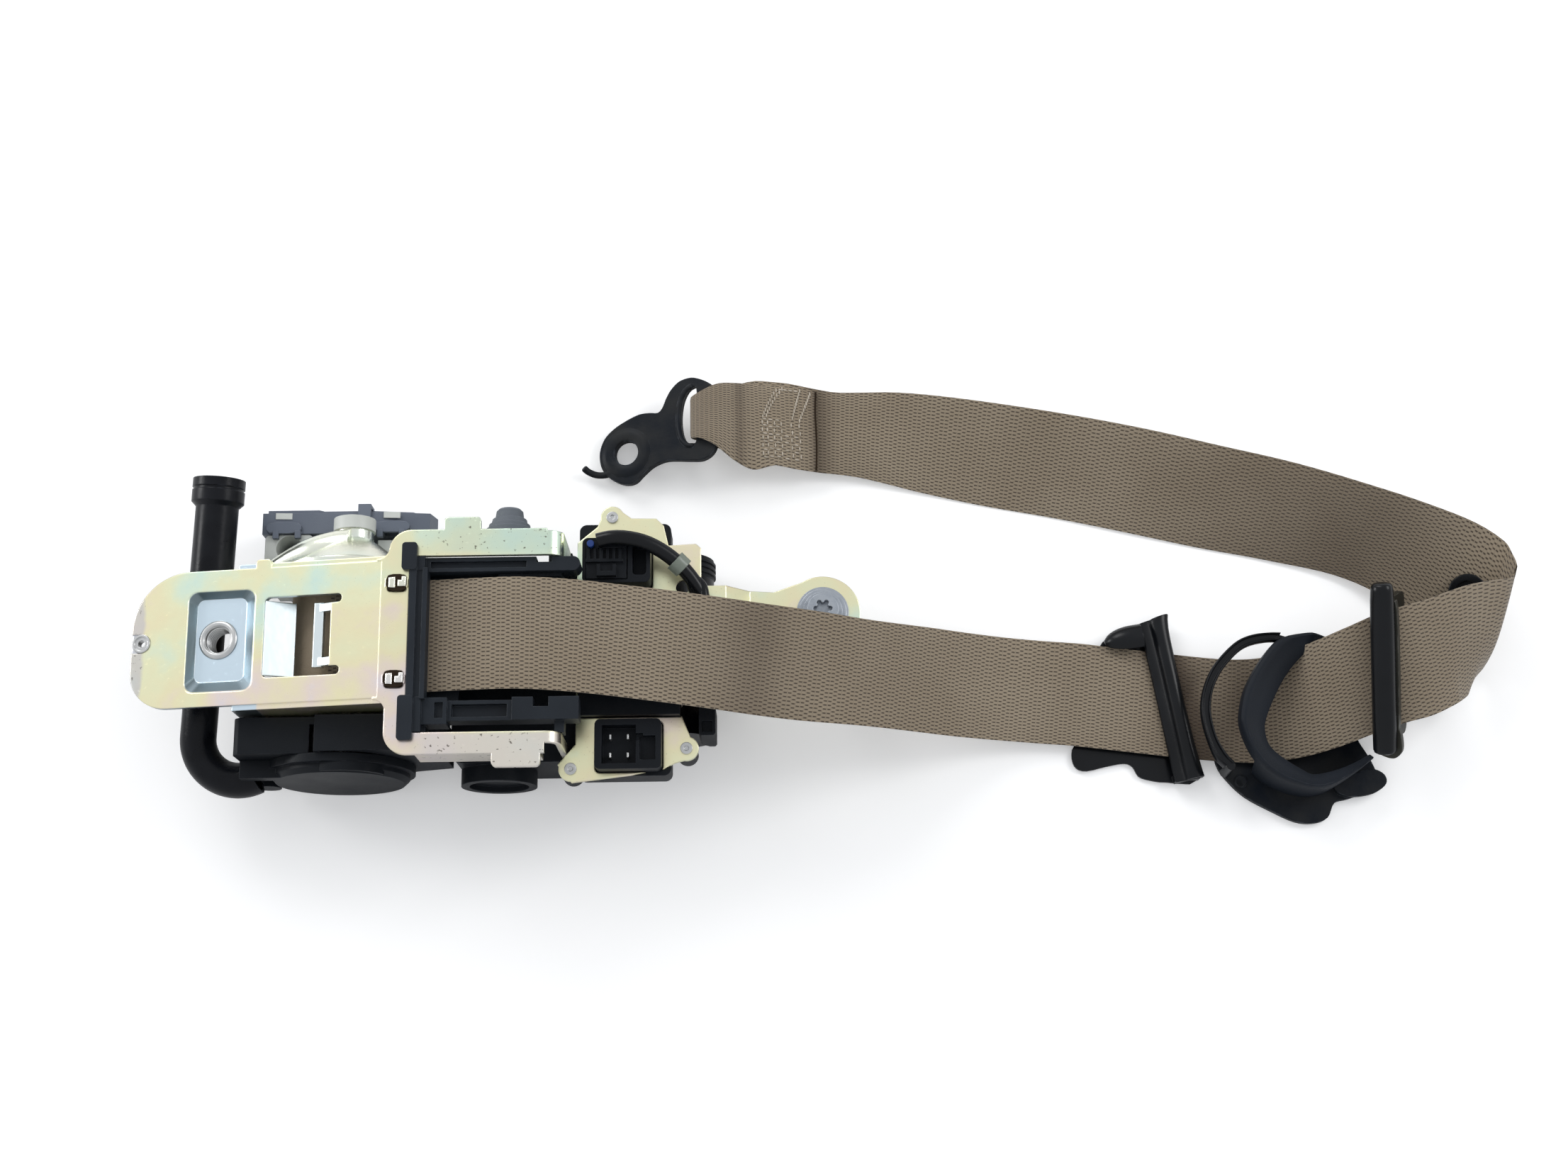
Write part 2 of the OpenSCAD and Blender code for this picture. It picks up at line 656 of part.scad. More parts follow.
// Black housing of the gas drive on the south side
cover_s0 = wall_s + wall_inset - 1.1;
cover_s1 = -47;
spring_s1 = -54.6;
spring_room = 18;
arbor_r = 8.6;
module pretensioner_cover() {
    room = 21;
    color(black) difference() {
        translate([0, cover_s0, 0]) rotate([90, 0, 0]) linear_extrude(cover_s0 - cover_s1) difference() {
            union() {
                round_rect(6.4, -52, 64, -4, 5);
                translate([spool_x, spool_z - 3]) circle(34.5);
                polygon([[60, -54], [92, -42], [92, -14], [70, -2]]);
            }
            translate([-20, 0]) square([140, 40]);
            translate([-20, -110]) square([140, 50]);
        }
        on_spool(cover_s1 - 1) cylinder(h = cover_s0 - cover_s1 - 2, r = room);
        on_spool(cover_s1 - 1) cylinder(h = 60, r = bush_r + 2 + gap);
        block([0, cover_s1 - 1, -4.6], [41, cover_s0 + 1, 2]);
        in_tube() rotate([0, 0, 180]) rotate_extrude(angle = tube_turn) translate([tube_bend, 0])
            circle(tube_r + gap);
    }
}

// Round cap of the return spring, with a stepped face and an ear over the gas tube
module spring_cover() {
    depth = cover_s1 - spring_s1;
    color(black) difference() {
        union() {
            on_spool(spring_s1) translate([-4, 11.5, 0]) {
                cylinder(h = 2, r1 = 26.8, r2 = 28.8);
                translate([0, 0, 2]) cylinder(h = depth - 5.6, r = 28.8);
                translate([0, 0, depth - 3.6]) cylinder(h = 3.6 - run, r = 31);
            }
            block([7, spring_s1, -23.7], [30, cover_s1 - run, -17.5]);
            translate([12, cover_s1 - run, -50]) rotate([90, 0, 0]) cylinder(h = 6, r = 5.4);
        }
        on_spool(spring_s1 + 1.6) cylinder(h = depth, r = spring_room);
        translate([-20, -80, -100]) cube([150, 60, 100 + ground_z + 0.4]);
    }
}

// Spiral spring, one flat coil of strip
module return_spring() {
    turns = 5;
    t = 0.7;
    r0 = arbor_r + 0.6;
    pitch = (spring_room - gap - t / 2 - r0) / turns;
    pts = 12 * turns;
    function coil(i, s) = let (a = 30 * i, r = r0 + pitch * i / 12 + s) [r * cos(a), r * sin(a)];
    color(zinc) on_spool(spring_s1 + 2.4) linear_extrude(4)
        polygon(concat([for (i = [0:pts]) coil(i, t / 2)], [for (i = [pts:-1:0]) coil(i, -t / 2)]));
}

module spring_arbor() {
    color(ivory) spool_ring(spring_s1 + 2.2, cover_s1 - 0.6, arbor_r, bar_r + run);
}

// Drive pinion of the gas tube, with round pockets for the push rod
module pretensioner_pinion() {
    n = 12;
    color(zinc) on_spool(cover_s1 + 1.2) difference() {
        cylinder(h = 10, r = 17);
        translate([0, 0, -1]) cylinder(h = 12, r = bar_r + run);
        for (i = [0:n - 1])
            rotate(i * 360 / n) translate([18.4, 0, -1]) cylinder(h = 12, r = 2.9, $fn = 24);
    }
}

// Straight gas tube with a bend that leads into the drive housing.
// Local frame: bend centre at the origin, straight part along +Y at x = -tube_bend.
tube_pitch = 7.5;
tube_yaw = -3.5;
module in_tube() {
    translate([3.5, -35.5, -29.5]) rotate([tube_pitch, 0, tube_yaw]) children();
}
tube_turn = 118;
module gas_tube() {
    color(black) in_tube() {
        difference() {
            translate([-tube_bend, 0, 0]) rotate([-90, 0, 0]) cylinder(h = tube_len, r = tube_r);
            translate([-tube_bend, -1, 0]) rotate([-90, 0, 0]) cylinder(h = tube_len + 2, r = tube_r - tube_wall);
        }
        rotate([0, 0, 180]) rotate_extrude(angle = tube_turn) translate([tube_bend, 0]) difference() {
            circle(tube_r);
            circle(tube_r - tube_wall);
        }
    }
}

module gas_generator() {
    seat = 22;
    color(black) in_tube() translate([-tube_bend, tube_len - seat, 0]) rotate([-90, 0, 0]) {
        difference() {
            union() {
                cylinder(h = seat + 12, r = gas_r);
                translate([0, 0, -2]) cylinder(h = 2.1, r1 = tube_r + 0.4, r2 = gas_r);
            }
            translate([0, 0, -3]) cylinder(h = seat + 3, r = tube_r + run);
        }
        translate([0, 0, seat + 12]) cylinder(h = 2, r1 = gas_r, r2 = gas_cap_r);
        difference() {
            translate([0, 0, seat + 14 - 0.01]) cylinder(h = gas_cap_len - 2, r = gas_cap_r);
            translate([0, 0, seat + 14 + gas_cap_len - 7]) difference() {
                cylinder(h = 1.2, r = gas_cap_r + 1);
                cylinder(h = 1.2, r = gas_cap_r - 0.6);
            }
            translate([0, 0, seat + gas_cap_len + 10]) cylinder(h = 4, r = gas_cap_r - 3.4);
        }
    }
}

module gas_piston() {
    r = tube_r - tube_wall;
    color([0.5, 0.5, 0.52]) in_tube() translate([-tube_bend, tube_len - 16, 0]) rotate([-90, 0, 0])
        difference() {
            cylinder(h = 12, r = r - run);
            translate([0, 0, 4]) difference() {
                cylinder(h = 2.4, r = r + 1);
                cylinder(h = 2.4, r = r - 1.2);
            }
        }
}

// Motor module: bracket, control unit, gear case and motor.
// It is drawn about its own origin, which lies this far back from the ends of the rails.
module_reach = 136.5;
unit_x = rail_x1 - module_reach;
module on_unit() {
    translate([unit_x, 0, 0]) children();
}
arm_z = bracket_z - arm_drop;
bolt_at = [249.6, 13.1];
motor_x = 186;
motor_z = ground_z + motor_r + 1;
motor_y0 = -36;
motor_y1 = motor_y0 + motor_len;
case_top = bracket_z - bracket_t - 8 - run;
unit_z = bracket_z - bracket_t - 13.8;
rivets = [[161.3, 53.4], [192.4, -46.3], [144.8, -54.2]];

module bracket_outline() {
    difference() {
        union() {
            polygon([[146.7, 42.5], [155, 49.4], [158, 56.4], [165.6, 55.8], [169.4, 53], [179.8, 52.8],
                     [183, 49.6], [185, 40.8], [196.6, 41.4], [198.7, 39.4], [198.7, -4], [189.7, -30.8],
                     [193.7, -40.6], [196, -50], [187.6, -52.2], [182.9, -54.8], [170.2, -56.9],
                     [145.2, -59.8], [139.4, -52.4], [146.7, -44]]);
            for (p = rivets) translate(p) circle(5);
        }
        translate([149.4, 21.4]) round_rect(0, 0, 29, 20.2, 2);
        translate([154.7, -56]) round_rect(0, 0, 28.1, 21.4, 2);
        round_rect(147.6, -33, 190.4, -21, 0.5);
        translate([191, 22.6]) circle(3);
        for (p = rivets) translate(p) circle(rivet_r + run);
    }
}

module module_bracket() {
    on_unit() color(gold) {
        translate([0, 0, bracket_z - bracket_t]) linear_extrude(bracket_t) bracket_outline();
        block([198, -4, bracket_z - bracket_t], [206.1, 23, bracket_z]);
        translate([206, 23, 0]) rotate([90, 0, 0]) linear_extrude(27)
            polygon([[0, bracket_z], [3, bracket_z], [13, arm_z], [15, arm_z], [15, arm_z - bracket_t],
                     [12, arm_z - bracket_t], [2, bracket_z - bracket_t], [0, bracket_z - bracket_t]]);
        translate([0, 0, arm_z - bracket_t]) linear_extrude(bracket_t) difference() {
            union() {
                polygon([[220.9, 23], [229, 22.4], [242, 27], [250, 29.1], [250, -2.9], [240, -2], [220.9, -4]]);
                translate(bolt_at) circle(16);
            }
            translate(bolt_at) circle(bolt_r + 0.4);
        }
    }
}

module bracket_rivets() {
    on_unit() color(zinc) for (p = rivets) translate([p[0], p[1], 0]) {
        translate([0, 0, bracket_z - bracket_t]) cylinder(h = bracket_t + run, r = rivet_r);
        translate([0, 0, bracket_z + run]) difference() {
            cylinder(h = 0.9, r = rivet_r + 0.5);
            translate([0, 0, 0.4]) cylinder(h = 1, r = rivet_r - 1);
        }
    }
}

module ecu_housing() {
    top = bracket_z - bracket_t - run;
    on_unit() color(black) {
        round_box(147.4, -57, unit_z, 186, 51, top, 3);
        block([148, -32.6, top - 0.1], [189.8, -21.4, bracket_z + 4]);
        for (p = rivets) translate([p[0], p[1], unit_z]) cylinder(h = top - unit_z, r = 4.4);
    }
}

// Gear case between the motor and the spool
module gear_case() {
    on_unit() color(black) {
        difference() {
            union() {
                round_box(94, -49, ground_z + 4, 146.6, 36, case_top, 5);
                round_box(140, -44, ground_z + 4, 168.4, 30, unit_z - run, 4);
                translate([112, -48.9, -39]) rotate([90, 0, 0]) cylinder(h = 7, r = 16);
                translate([module_reach - 3, 0, 0]) block([0, rail_n_in, case_top - 12], [10, 41, case_top]);
            }
            translate([112, -53.4, -39]) rotate([90, 0, 0]) cylinder(h = 3, r = 12.6);
            for (x = [100:9:127])
                block([x, 30.6, -56], [x + 5.4, 37, -26]);
        }
    }
}

module motor_can() {
    on_unit() color([0.16, 0.16, 0.17]) translate([motor_x, motor_y0, motor_z]) rotate([-90, 0, 0]) difference() {
        union() {
            cylinder(h = motor_len, r = motor_r);
            translate([0, 0, -3]) cylinder(h = 3.1, r = 6);
        }
        translate([0, 0, 2]) cylinder(h = motor_len, r = motor_r - motor_wall);
        translate([0, 0, -1.2]) cylinder(h = 4, r = 2.6);
    }
}

module motor_end_cap() {
    on_unit() color(black) translate([motor_x, motor_y1 + run, motor_z]) rotate([-90, 0, 0]) difference() {
        union() {
            cylinder(h = 9, r = motor_r);
            for (h = [1.4:2.4:8]) translate([0, 0, h]) cylinder(h = 1.2, r = motor_r + 0.8);
            translate([0, 0, 9]) cylinder(h = 4.4, r = 7);
        }
        translate([0, 0, -1]) cylinder(h = 12.4, r = 2.6);
    }
}

module motor_rotor() {
    on_unit() color([0.55, 0.36, 0.22]) translate([motor_x, motor_y0, motor_z]) rotate([-90, 0, 0]) {
        translate([0, 0, -1]) cylinder(h = motor_len + 11, r = 2.55);
        translate([0, 0, 8]) difference() {
            cylinder(h = motor_len - 24, r = motor_r - motor_wall - 2.4);
            for (i = [0:7]) rotate(i * 45) translate([motor_r - motor_wall - 5, -0.9, -1])
                cube([6, 1.8, motor_len]);
        }
        translate([0, 0, motor_len - 14]) cylinder(h = 8, r = 6);
    }
}

terminal_y = -26.4;
module motor_terminal() {
    on_unit() color(black) difference() {
        round_box(197.4, terminal_y - 14, -36, 204.2, terminal_y, -12, 1.2);
        translate([motor_x, 0, motor_z]) rotate([90, 0, 0]) cylinder(h = 60, r = motor_r + run);
        block([198.6, terminal_y - 12.6, -14], [203, terminal_y - 8, -10]);
    }
}

module upper_socket() {
    on_unit() color(black) difference() {
        round_box(149.8, 21.8, bracket_z - bracket_t, 178, 41.2, bracket_z + 11.5, 2.4);
        block([151.2, 23.2, bracket_z + 1], [168.6, 39.8, bracket_z + 12]);
        round_box(170.6, 25, bracket_z + 5, 176.4, 38, bracket_z + 12, 1.6);
    }
}

module upper_plug() {
    z1 = bracket_z + 13.6;
    on_unit() color(black) {
        block([151.4, 23.4, bracket_z + 1.2], [168.2, 39.6, z1 - 1.6]);
        for (i = [0:5])
            block([152 + 2.6 * i, 31.4, z1 - 1.7], [153.2 + 2.6 * i, 36, z1]);
        block([151.4, 30.2, z1 - 1.7], [167, 31.5, z1]);
        block([156, 24, z1 - 1.7], [164, 26, z1 + 0.8]);
        block([156, 26, z1 - 1.7], [157.4, 29, z1 + 0.8]);
        block([162.6, 26, z1 - 1.7], [164, 29, z1 + 0.8]);
        block([156.2, 36.2, z1 - 1.7], [167.8, 39.6, z1]);
    }
}

module plug_lock_pin() {
    on_unit() color([0.1, 0.25, 0.6]) translate([153.4, 37.9, bracket_z + 12.05]) cylinder(h = 2.6, r = 1.5);
}

// Route of the harness lead, from the plug to the motor's terminal
LEAD = [
    [156.5, 38.2, 7], [163, 39.4, 7.4], [170, 39, 6.8], [177, 37.4, 5.2], [184, 34, 2.8],
    [190, 29.4, 0.6], [195, 24, -1.6], [199, 17.4, -3.6], [201.4, 10, -5], [202.4, 2, -5.6],
    [202.4, -6, -6.6], [201.8, -12, -9], [201.2, -17, -13], [200.8, -21, -15.8], [200.8, -26, -17.2],
    [200.8, -26.2, -17.2]
];
lead_sides = 10;

// A closed tube along a list of points
module tube_along(route, r, sides) {
    n = len(route);
    function dir(i) = unit(route[min(i + 1, n - 1)] - route[max(i - 1, 0)]);
    function side(i) = unit(cross(dir(i), [0.1, 0.2, 1]));
    points = [for (i = [0:n - 1]) for (j = [0:sides - 1])
        let (a = 360 * j / sides, s = side(i), t = cross(dir(i), s))
        route[i] + r * (cos(a) * s + sin(a) * t)];
    quads = [for (i = [0:n - 2]) for (j = [0:sides - 1])
        [i * sides + j, i * sides + (j + 1) % sides, (i + 1) * sides + (j + 1) % sides, (i + 1) * sides + j]];
    faces = [for (q = quads) each [[q[0], q[2], q[1]], [q[0], q[3], q[2]]]];
    first = [for (j = [1:sides - 2]) [0, j, j + 1]];
    e = (n - 1) * sides;
    last = [for (j = [1:sides - 2]) [e, e + j + 1, e + j]];
    polyhedron(points, concat(faces, first, last));
}

module harness_lead() {
    on_unit() color(black) tube_along(LEAD, lead_r, lead_sides);
}

// Open band clipped round the lead
module lead_band() {
    at = LEAD[5];
    d = unit(LEAD[6] - LEAD[4]);
    on_unit() color([0.5, 0.56, 0.5, 0.8]) translate(at)
        rotate([0, acos(d[2]), atan2(d[1], d[0])]) difference() {
            translate([0, 0, -2.6]) cylinder(h = 5.2, r = lead_r + 1.3);
            translate([0, 0, -4]) cylinder(h = 8, r = lead_r + 0.35);
        }
}

module lower_socket() {
    z1 = bracket_z + 7;
    on_unit() color(black) difference() {
        round_box(155.1, -55.6, bracket_z - bracket_t, 182.4, -34.9, z1, 2.2);
        block([158, -53.4, bracket_z], [172, -37.4, z1 + 1]);
        block([173.4, -52, z1 - 4], [180, -42, z1 + 1]);
        block([171, -44, z1 - 3], [175, -41, z1 + 1]);
    }
}

module socket_pins() {
    on_unit() color(zinc) for (x = [161.4, 168.6]) for (y = [-49.6, -42])
        block([x - 0.4, y - 1, bracket_z + run], [x + 0.4, y + 1, bracket_z + 5]);
}

module bolt_washer() {
    on_unit() color(zinc) translate([bolt_at[0], bolt_at[1], arm_z + run]) difference() {
        cylinder(h = 1.8, r = 11);
        translate([0, 0, -1]) cylinder(h = 4, r = bolt_r + 0.4);
        translate([0, 0, 1.3]) difference() {
            cylinder(h = 1, r = 12);
            cylinder(h = 1, r = 10);
        }
    }
}

module torx_bolt() {
    seat = 1.8 + 2 * run;
    on_unit() color(zinc) translate([bolt_at[0], bolt_at[1], arm_z + seat]) difference() {
        union() {
            cylinder(h = 1.6, r = 8.4);
            translate([0, 0, 1.6]) cylinder(h = 4, r = 6.6);
            translate([0, 0, -bolt_len]) cylinder(h = bolt_len, r = bolt_r);
            translate([0, 0, -seat - bracket_t]) cylinder(h = seat + bracket_t, r = bolt_r + 0.3);
        }
        translate([0, 0, 2]) linear_extrude(5) {
            circle(2.7);
            for (i = [0:5]) rotate(i * 60) translate([3, 0]) circle(1.05);
        }
    }
}

// Webbing in four stretches and its sewn end
module web_lower_run() { web_run(0, 20); }
module web_rising_run() { web_run(20, 30); }
module web_turn() { web_run(30, 35); }
module web_upper_run() { web_run(35, 44); }

bar_at = [200, 112, -44.5];
bar_yaw = 0;
loop_w = 19;
bar_mid = 1;
module web_anchor_loop() {
    half = 6.8;
    r = 3.6;
    web_run(44, 47);
    color(khaki) {
        translate(bar_at) rotate([0, 0, bar_yaw]) translate([bar_mid, loop_w / 2, 0]) rotate([90, 0, 0])
            linear_extrude(loop_w) difference() {
                stadium(half - r, r + web_t);
                stadium(half - r, r);
            }
        translate(bar_at + [bar_mid + half + 0.6, 0, 0]) hull() {
            block([0, -loop_w / 2, -web_t], [0.6, loop_w / 2, web_t]);
            block([5.4, -14, -4.6], [6, 14, -2.4]);
        }
    }
}

// Two half circles joined by straight sides, drawn flat
module stadium(half, r) {
    for (s = [-1, 1]) translate([s * half, 0]) circle(r);
    translate([-half, -r]) square([2 * half, 2 * r]);
}

// Belt guide: folded steel with a front bar over the webbing and a plate behind it
guide_station = 19.4;
module belt_guide() {
    half = guide_slot / 2;
    back = -4.8;
    front = 1;
    t = guide_t;
    end_t = 4.6;
    color(black) on_web(guide_station) rotate([0, 0, 15.7]) {
        difference() {
            translate([0, half + end_t, 0]) rotate([90, 0, 0]) linear_extrude(2 * half + 2 * end_t) {
                difference() {
                    translate([0, front - 1.2]) circle(5.4);
                    translate([0, front - 1.2 - t]) circle(5.2);
                    translate([-10, -20 + front]) square([20, 20]);
                }
                translate([-5.2, front]) square([10.4, 1]);
            }
        }
        translate([0, 0, back]) linear_extrude(t) {
            round_rect(-26, -half, 6, half, 3);
            round_rect(-40, -half + 2, -24, -half + 13, 3);
            translate([-30, -half + 6]) square([12, 30]);
        }
        for (y = [half, -half - end_t])
            block([-5, y, back], [5.2, y + end_t, front + 1]);
        translate([-16, half - 1, 1.2]) rotate([0, 90, 0]) difference() {
            cylinder(h = 15, r = 6);
            translate([0, 0, -1]) cylinder(h = 17, r = 6 - t);
            translate([-14, -8, -1]) cube([14, 8, 17]);
            translate([-8, -14, -1]) cube([20, 14, 17]);
        }
    }
}

// Pillar loop: steel plate, moulded cover over the webbing and a thin trim arc
loop_c = [459.5, -26];
plate_top = -58.9;
arch_low = -43;
arch_top = -36;
module loop_plate() {
    color(steel_dark) translate([0, 0, ground_z + 0.2]) linear_extrude(plate_top - ground_z - 0.2) difference() {
        union() {
            polygon([[417.7, -44], [421.7, -55.5], [427.3, -61.7], [436.1, -66.1], [447.6, -71.2], [454.6, -73.6],
                     [463.8, -72], [468.2, -63], [474.2, -62.5], [485.7, -59.3], [488.1, -56.3], [486.3, -46],
                     [478, -30], [474, 2], [462, 10], [444, 11], [430, 2], [420, -16]]);
            translate([456, -68]) circle(5.4);
        }
        translate([450, -30]) circle(anchor_hole_r);
        translate([429, -54.7]) circle(2);
    }
}

module crescent() {
    difference() {
        translate(loop_c) circle(33);
        polygon([[472, 8], [455, 8], [448.6, -6], [447, -18], [443.6, -30], [437.6, -41], [442, -47],
                 [452, -51], [470, -48], [500, -48], [500, 8]]);
        translate([456, -16]) square([60, 60]);
        translate([474, -70]) square([60, 60]);
    }
}

module loop_cover() {
    color(steel_dark) {
        difference() {
            translate([0, 0, arch_low]) linear_extrude(arch_top - arch_low) crescent();
            translate([loop_c[0], loop_c[1], arch_top - 3]) rotate_extrude()
                polygon([[33.5, -1], [33.5, 4], [28, 4]]);
        }
        for (y = [[2, 30], [-90, -52.5]])
            translate([0, 0, plate_top + run]) linear_extrude(arch_low - plate_top) intersection() {
                crescent();
                translate([400, y[0]]) square([100, y[1] - y[0]]);
            }
    }
}

module loop_trim() {
    r = 29;
    c = [442.5, -20];
    color(black) translate([c[0], c[1], 0]) {
        rotate([0, 0, 82]) translate([r - 1.8, -2, plate_top + run]) cube([3.6, 4, -44 - plate_top]);
        block([-19.8, -30, -44], [-16.4, -22.6, -39.6]);
        block([-19.8, -33, plate_top + run], [-16.4, -29.4, -39.6]);
        rotate([0, 0, 80]) rotate_extrude(angle = 152) translate([r, -44]) difference() {
            translate([-1.8, 0]) square([3.6, 4.4]);
            translate([-0.8, 3.4]) square([1.6, 2]);
        }
    }
}

// Buckle tongue: steel plate with a slot for the webbing and a moulded bar
tongue_station = 26;
module tongue_frame() {
    on_web(tongue_station) rotate([0, 0, -19]) children();
}

module tongue_plate() {
    lean = -25;
    w = grip_len - 11;
    color(zinc) tongue_frame() rotate([0, lean, 0]) translate([-blade_t / 2, 0, 0]) rotate([90, 0, 90])
        linear_extrude(blade_t) difference() {
            union() {
                round_rect(-w / 2, -20, w / 2, 9.4, 4);
                round_rect(-13, -38, 13, -15, 3);
            }
            round_rect(-w / 2 + 5, -6.4, w / 2 - 5, 3.6, 2);
            round_rect(-6.5, -32, 6.5, -23, 1.5);
        }
}

module tongue_grip() {
    half = grip_len / 2 - 4.75;
    lean = -25;
    color(black) tongue_frame() difference() {
        rotate([0, lean, 0]) translate([0, 0, 8.2]) rotate([90, 0, 0]) {
            translate([0, 0, -half]) cylinder(h = 2 * half, r = 4.75);
            for (s = [-1, 1]) translate([0, 0, s * half]) sphere(4.75);
        }
        rotate([0, lean, 0]) block([-blade_t / 2 - run, -half + 0.2, 0], [blade_t / 2 + run, half - 0.2, 9.45]);
    }
}

// Stop button: two halves that clamp the webbing
button_station = 34.65;
module stop_button() {
    color(black) on_web(button_station) translate([0, 0, -web_t / 2 - 4.4]) difference() {
        cylinder(h = 2.6, r = button_r);
        translate([0, 0, -1]) cylinder(h = 1.6, r = button_r - 3);
    }
}

module button_back() {
    color(black) on_web(button_station) translate([0, 0, web_t / 2 + 1.1]) cylinder(h = 2.2, r = button_r - 1);
}

module anchor_plate() {
    hole = [-37.5, -14.5];
    color(steel_dark) translate(bar_at) rotate([0, -anchor_tilt, 0]) difference() {
        union() {
            translate([0, 0, -anchor_t / 2]) linear_extrude(anchor_t) {
                translate(hole) circle(13.6);
                polygon([[-46.4, -4.2], [-31.4, 3], [-21.5, 3.9], [-16.7, 13.3], [-9, 20], [-2.3, 20],
                         [3.6, 17.2], [6, 12], [6, -12], [3.6, -16.4], [-1.5, -18.7], [-17.8, -18.1],
                         [-24.2, -20], [-32.2, -27]]);
                translate([-8, 15]) circle(5.2);
            }
            translate([hole[0], hole[1], anchor_t / 2 - 0.1]) cylinder(h = 0.9, r = 9.6);
            translate([0, -21.2, 0]) rotate([90, 0, 0]) linear_extrude(3)
                polygon([[-46, -1.2], [-46, 0.6], [-52, 1], [-56.6, 2.2], [-58.4, 4.6], [-60, 3.4], [-57.6, 0.2],
                         [-52, -0.9]]);
        }
        translate([hole[0], hole[1], -10]) cylinder(h = 20, r = anchor_hole_r);
        translate([0, 0, -10]) linear_extrude(20) round_rect(-12, -12.6, -4, 11.6, 3.6);
    }
}

retractor_frame();
threaded_collar();
locator_eyelet();
web_guide();
spool_drum();
torsion_bar();
web_roll();
ratchet_wheel();
north_bush();
south_bush();
lock_pawl();
pawl_pin();
lock_housing();
boss_cap();
sensor_base();
sensor_ball();
sensor_lever();
sensor_cover();
sensor_clip();
rubber_dome();
pretensioner_cover();
spring_cover();
return_spring();
spring_arbor();
pretensioner_pinion();
gas_tube();
gas_generator();
gas_piston();
module_bracket();
bracket_rivets();
ecu_housing();
gear_case();
motor_can();
motor_end_cap();
motor_rotor();
motor_terminal();
upper_socket();
upper_plug();
plug_lock_pin();
harness_lead();
lead_band();
lower_socket();
socket_pins();
torx_bolt();
bolt_washer();
web_lower_run();
web_rising_run();
web_turn();
web_upper_run();
web_anchor_loop();
belt_guide();
loop_plate();
loop_cover();
loop_trim();
tongue_plate();
tongue_grip();
stop_button();
button_back();
anchor_plate();
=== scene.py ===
"""Looks of the seat belt assembly: webbing, plated frame, mouldings, leads and fittings."""
import logging
import math
from dataclasses import dataclass, field, replace
from enum import Enum
from functools import cache

import bmesh
import bpy
from mathutils import Matrix, Vector


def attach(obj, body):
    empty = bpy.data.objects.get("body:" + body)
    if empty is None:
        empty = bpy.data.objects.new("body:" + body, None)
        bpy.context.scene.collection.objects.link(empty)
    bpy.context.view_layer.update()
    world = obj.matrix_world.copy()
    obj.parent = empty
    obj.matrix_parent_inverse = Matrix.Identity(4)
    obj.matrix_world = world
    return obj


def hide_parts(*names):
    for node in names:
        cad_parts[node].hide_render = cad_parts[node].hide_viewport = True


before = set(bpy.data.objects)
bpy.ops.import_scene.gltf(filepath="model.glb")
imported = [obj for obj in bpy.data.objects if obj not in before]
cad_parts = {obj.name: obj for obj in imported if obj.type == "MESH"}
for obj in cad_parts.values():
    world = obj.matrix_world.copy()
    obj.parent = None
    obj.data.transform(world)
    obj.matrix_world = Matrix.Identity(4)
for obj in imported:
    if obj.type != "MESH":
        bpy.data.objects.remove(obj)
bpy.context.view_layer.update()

# Metres in a millimetre
MM = 0.001
# Height of the ground under the part, in metres
GROUND_Z = -0.062
# Faces that meet at less than this many degrees are shaded as one smooth surface
SMOOTH_BELOW = 35
# Place of a piece that is drawn in the part's own axes
UNTURNED = Matrix.Identity(4)
log = logging.getLogger("seat_belt")

BMesh = bmesh.types.BMesh
Node = bpy.types.Node
Piece = bpy.types.Object
Socket = bpy.types.NodeSocket
Colour = tuple[float, float, float]
Span = tuple[float, float]
Outline = tuple[tuple[float, float], ...]
Route = tuple[tuple[float, float, float], ...]
Station = tuple[float, float, float, float, float, float]


class Slot(Enum):
    """Material slots of the record. The pieces here take their finishes from the finish book, not from these
    slots.
    """

    WEBBING = "webbing"
    GOLD = "zinc_gold"
    ZINC = "zinc_clear"
    BLACK_PLASTIC = "black_plastic"
    BLACK_STEEL = "black_steel"
    GLOSS_BLACK = "gloss_black"
    GREY_PLASTIC = "grey_plastic"
    WHITE_PLASTIC = "white_plastic"


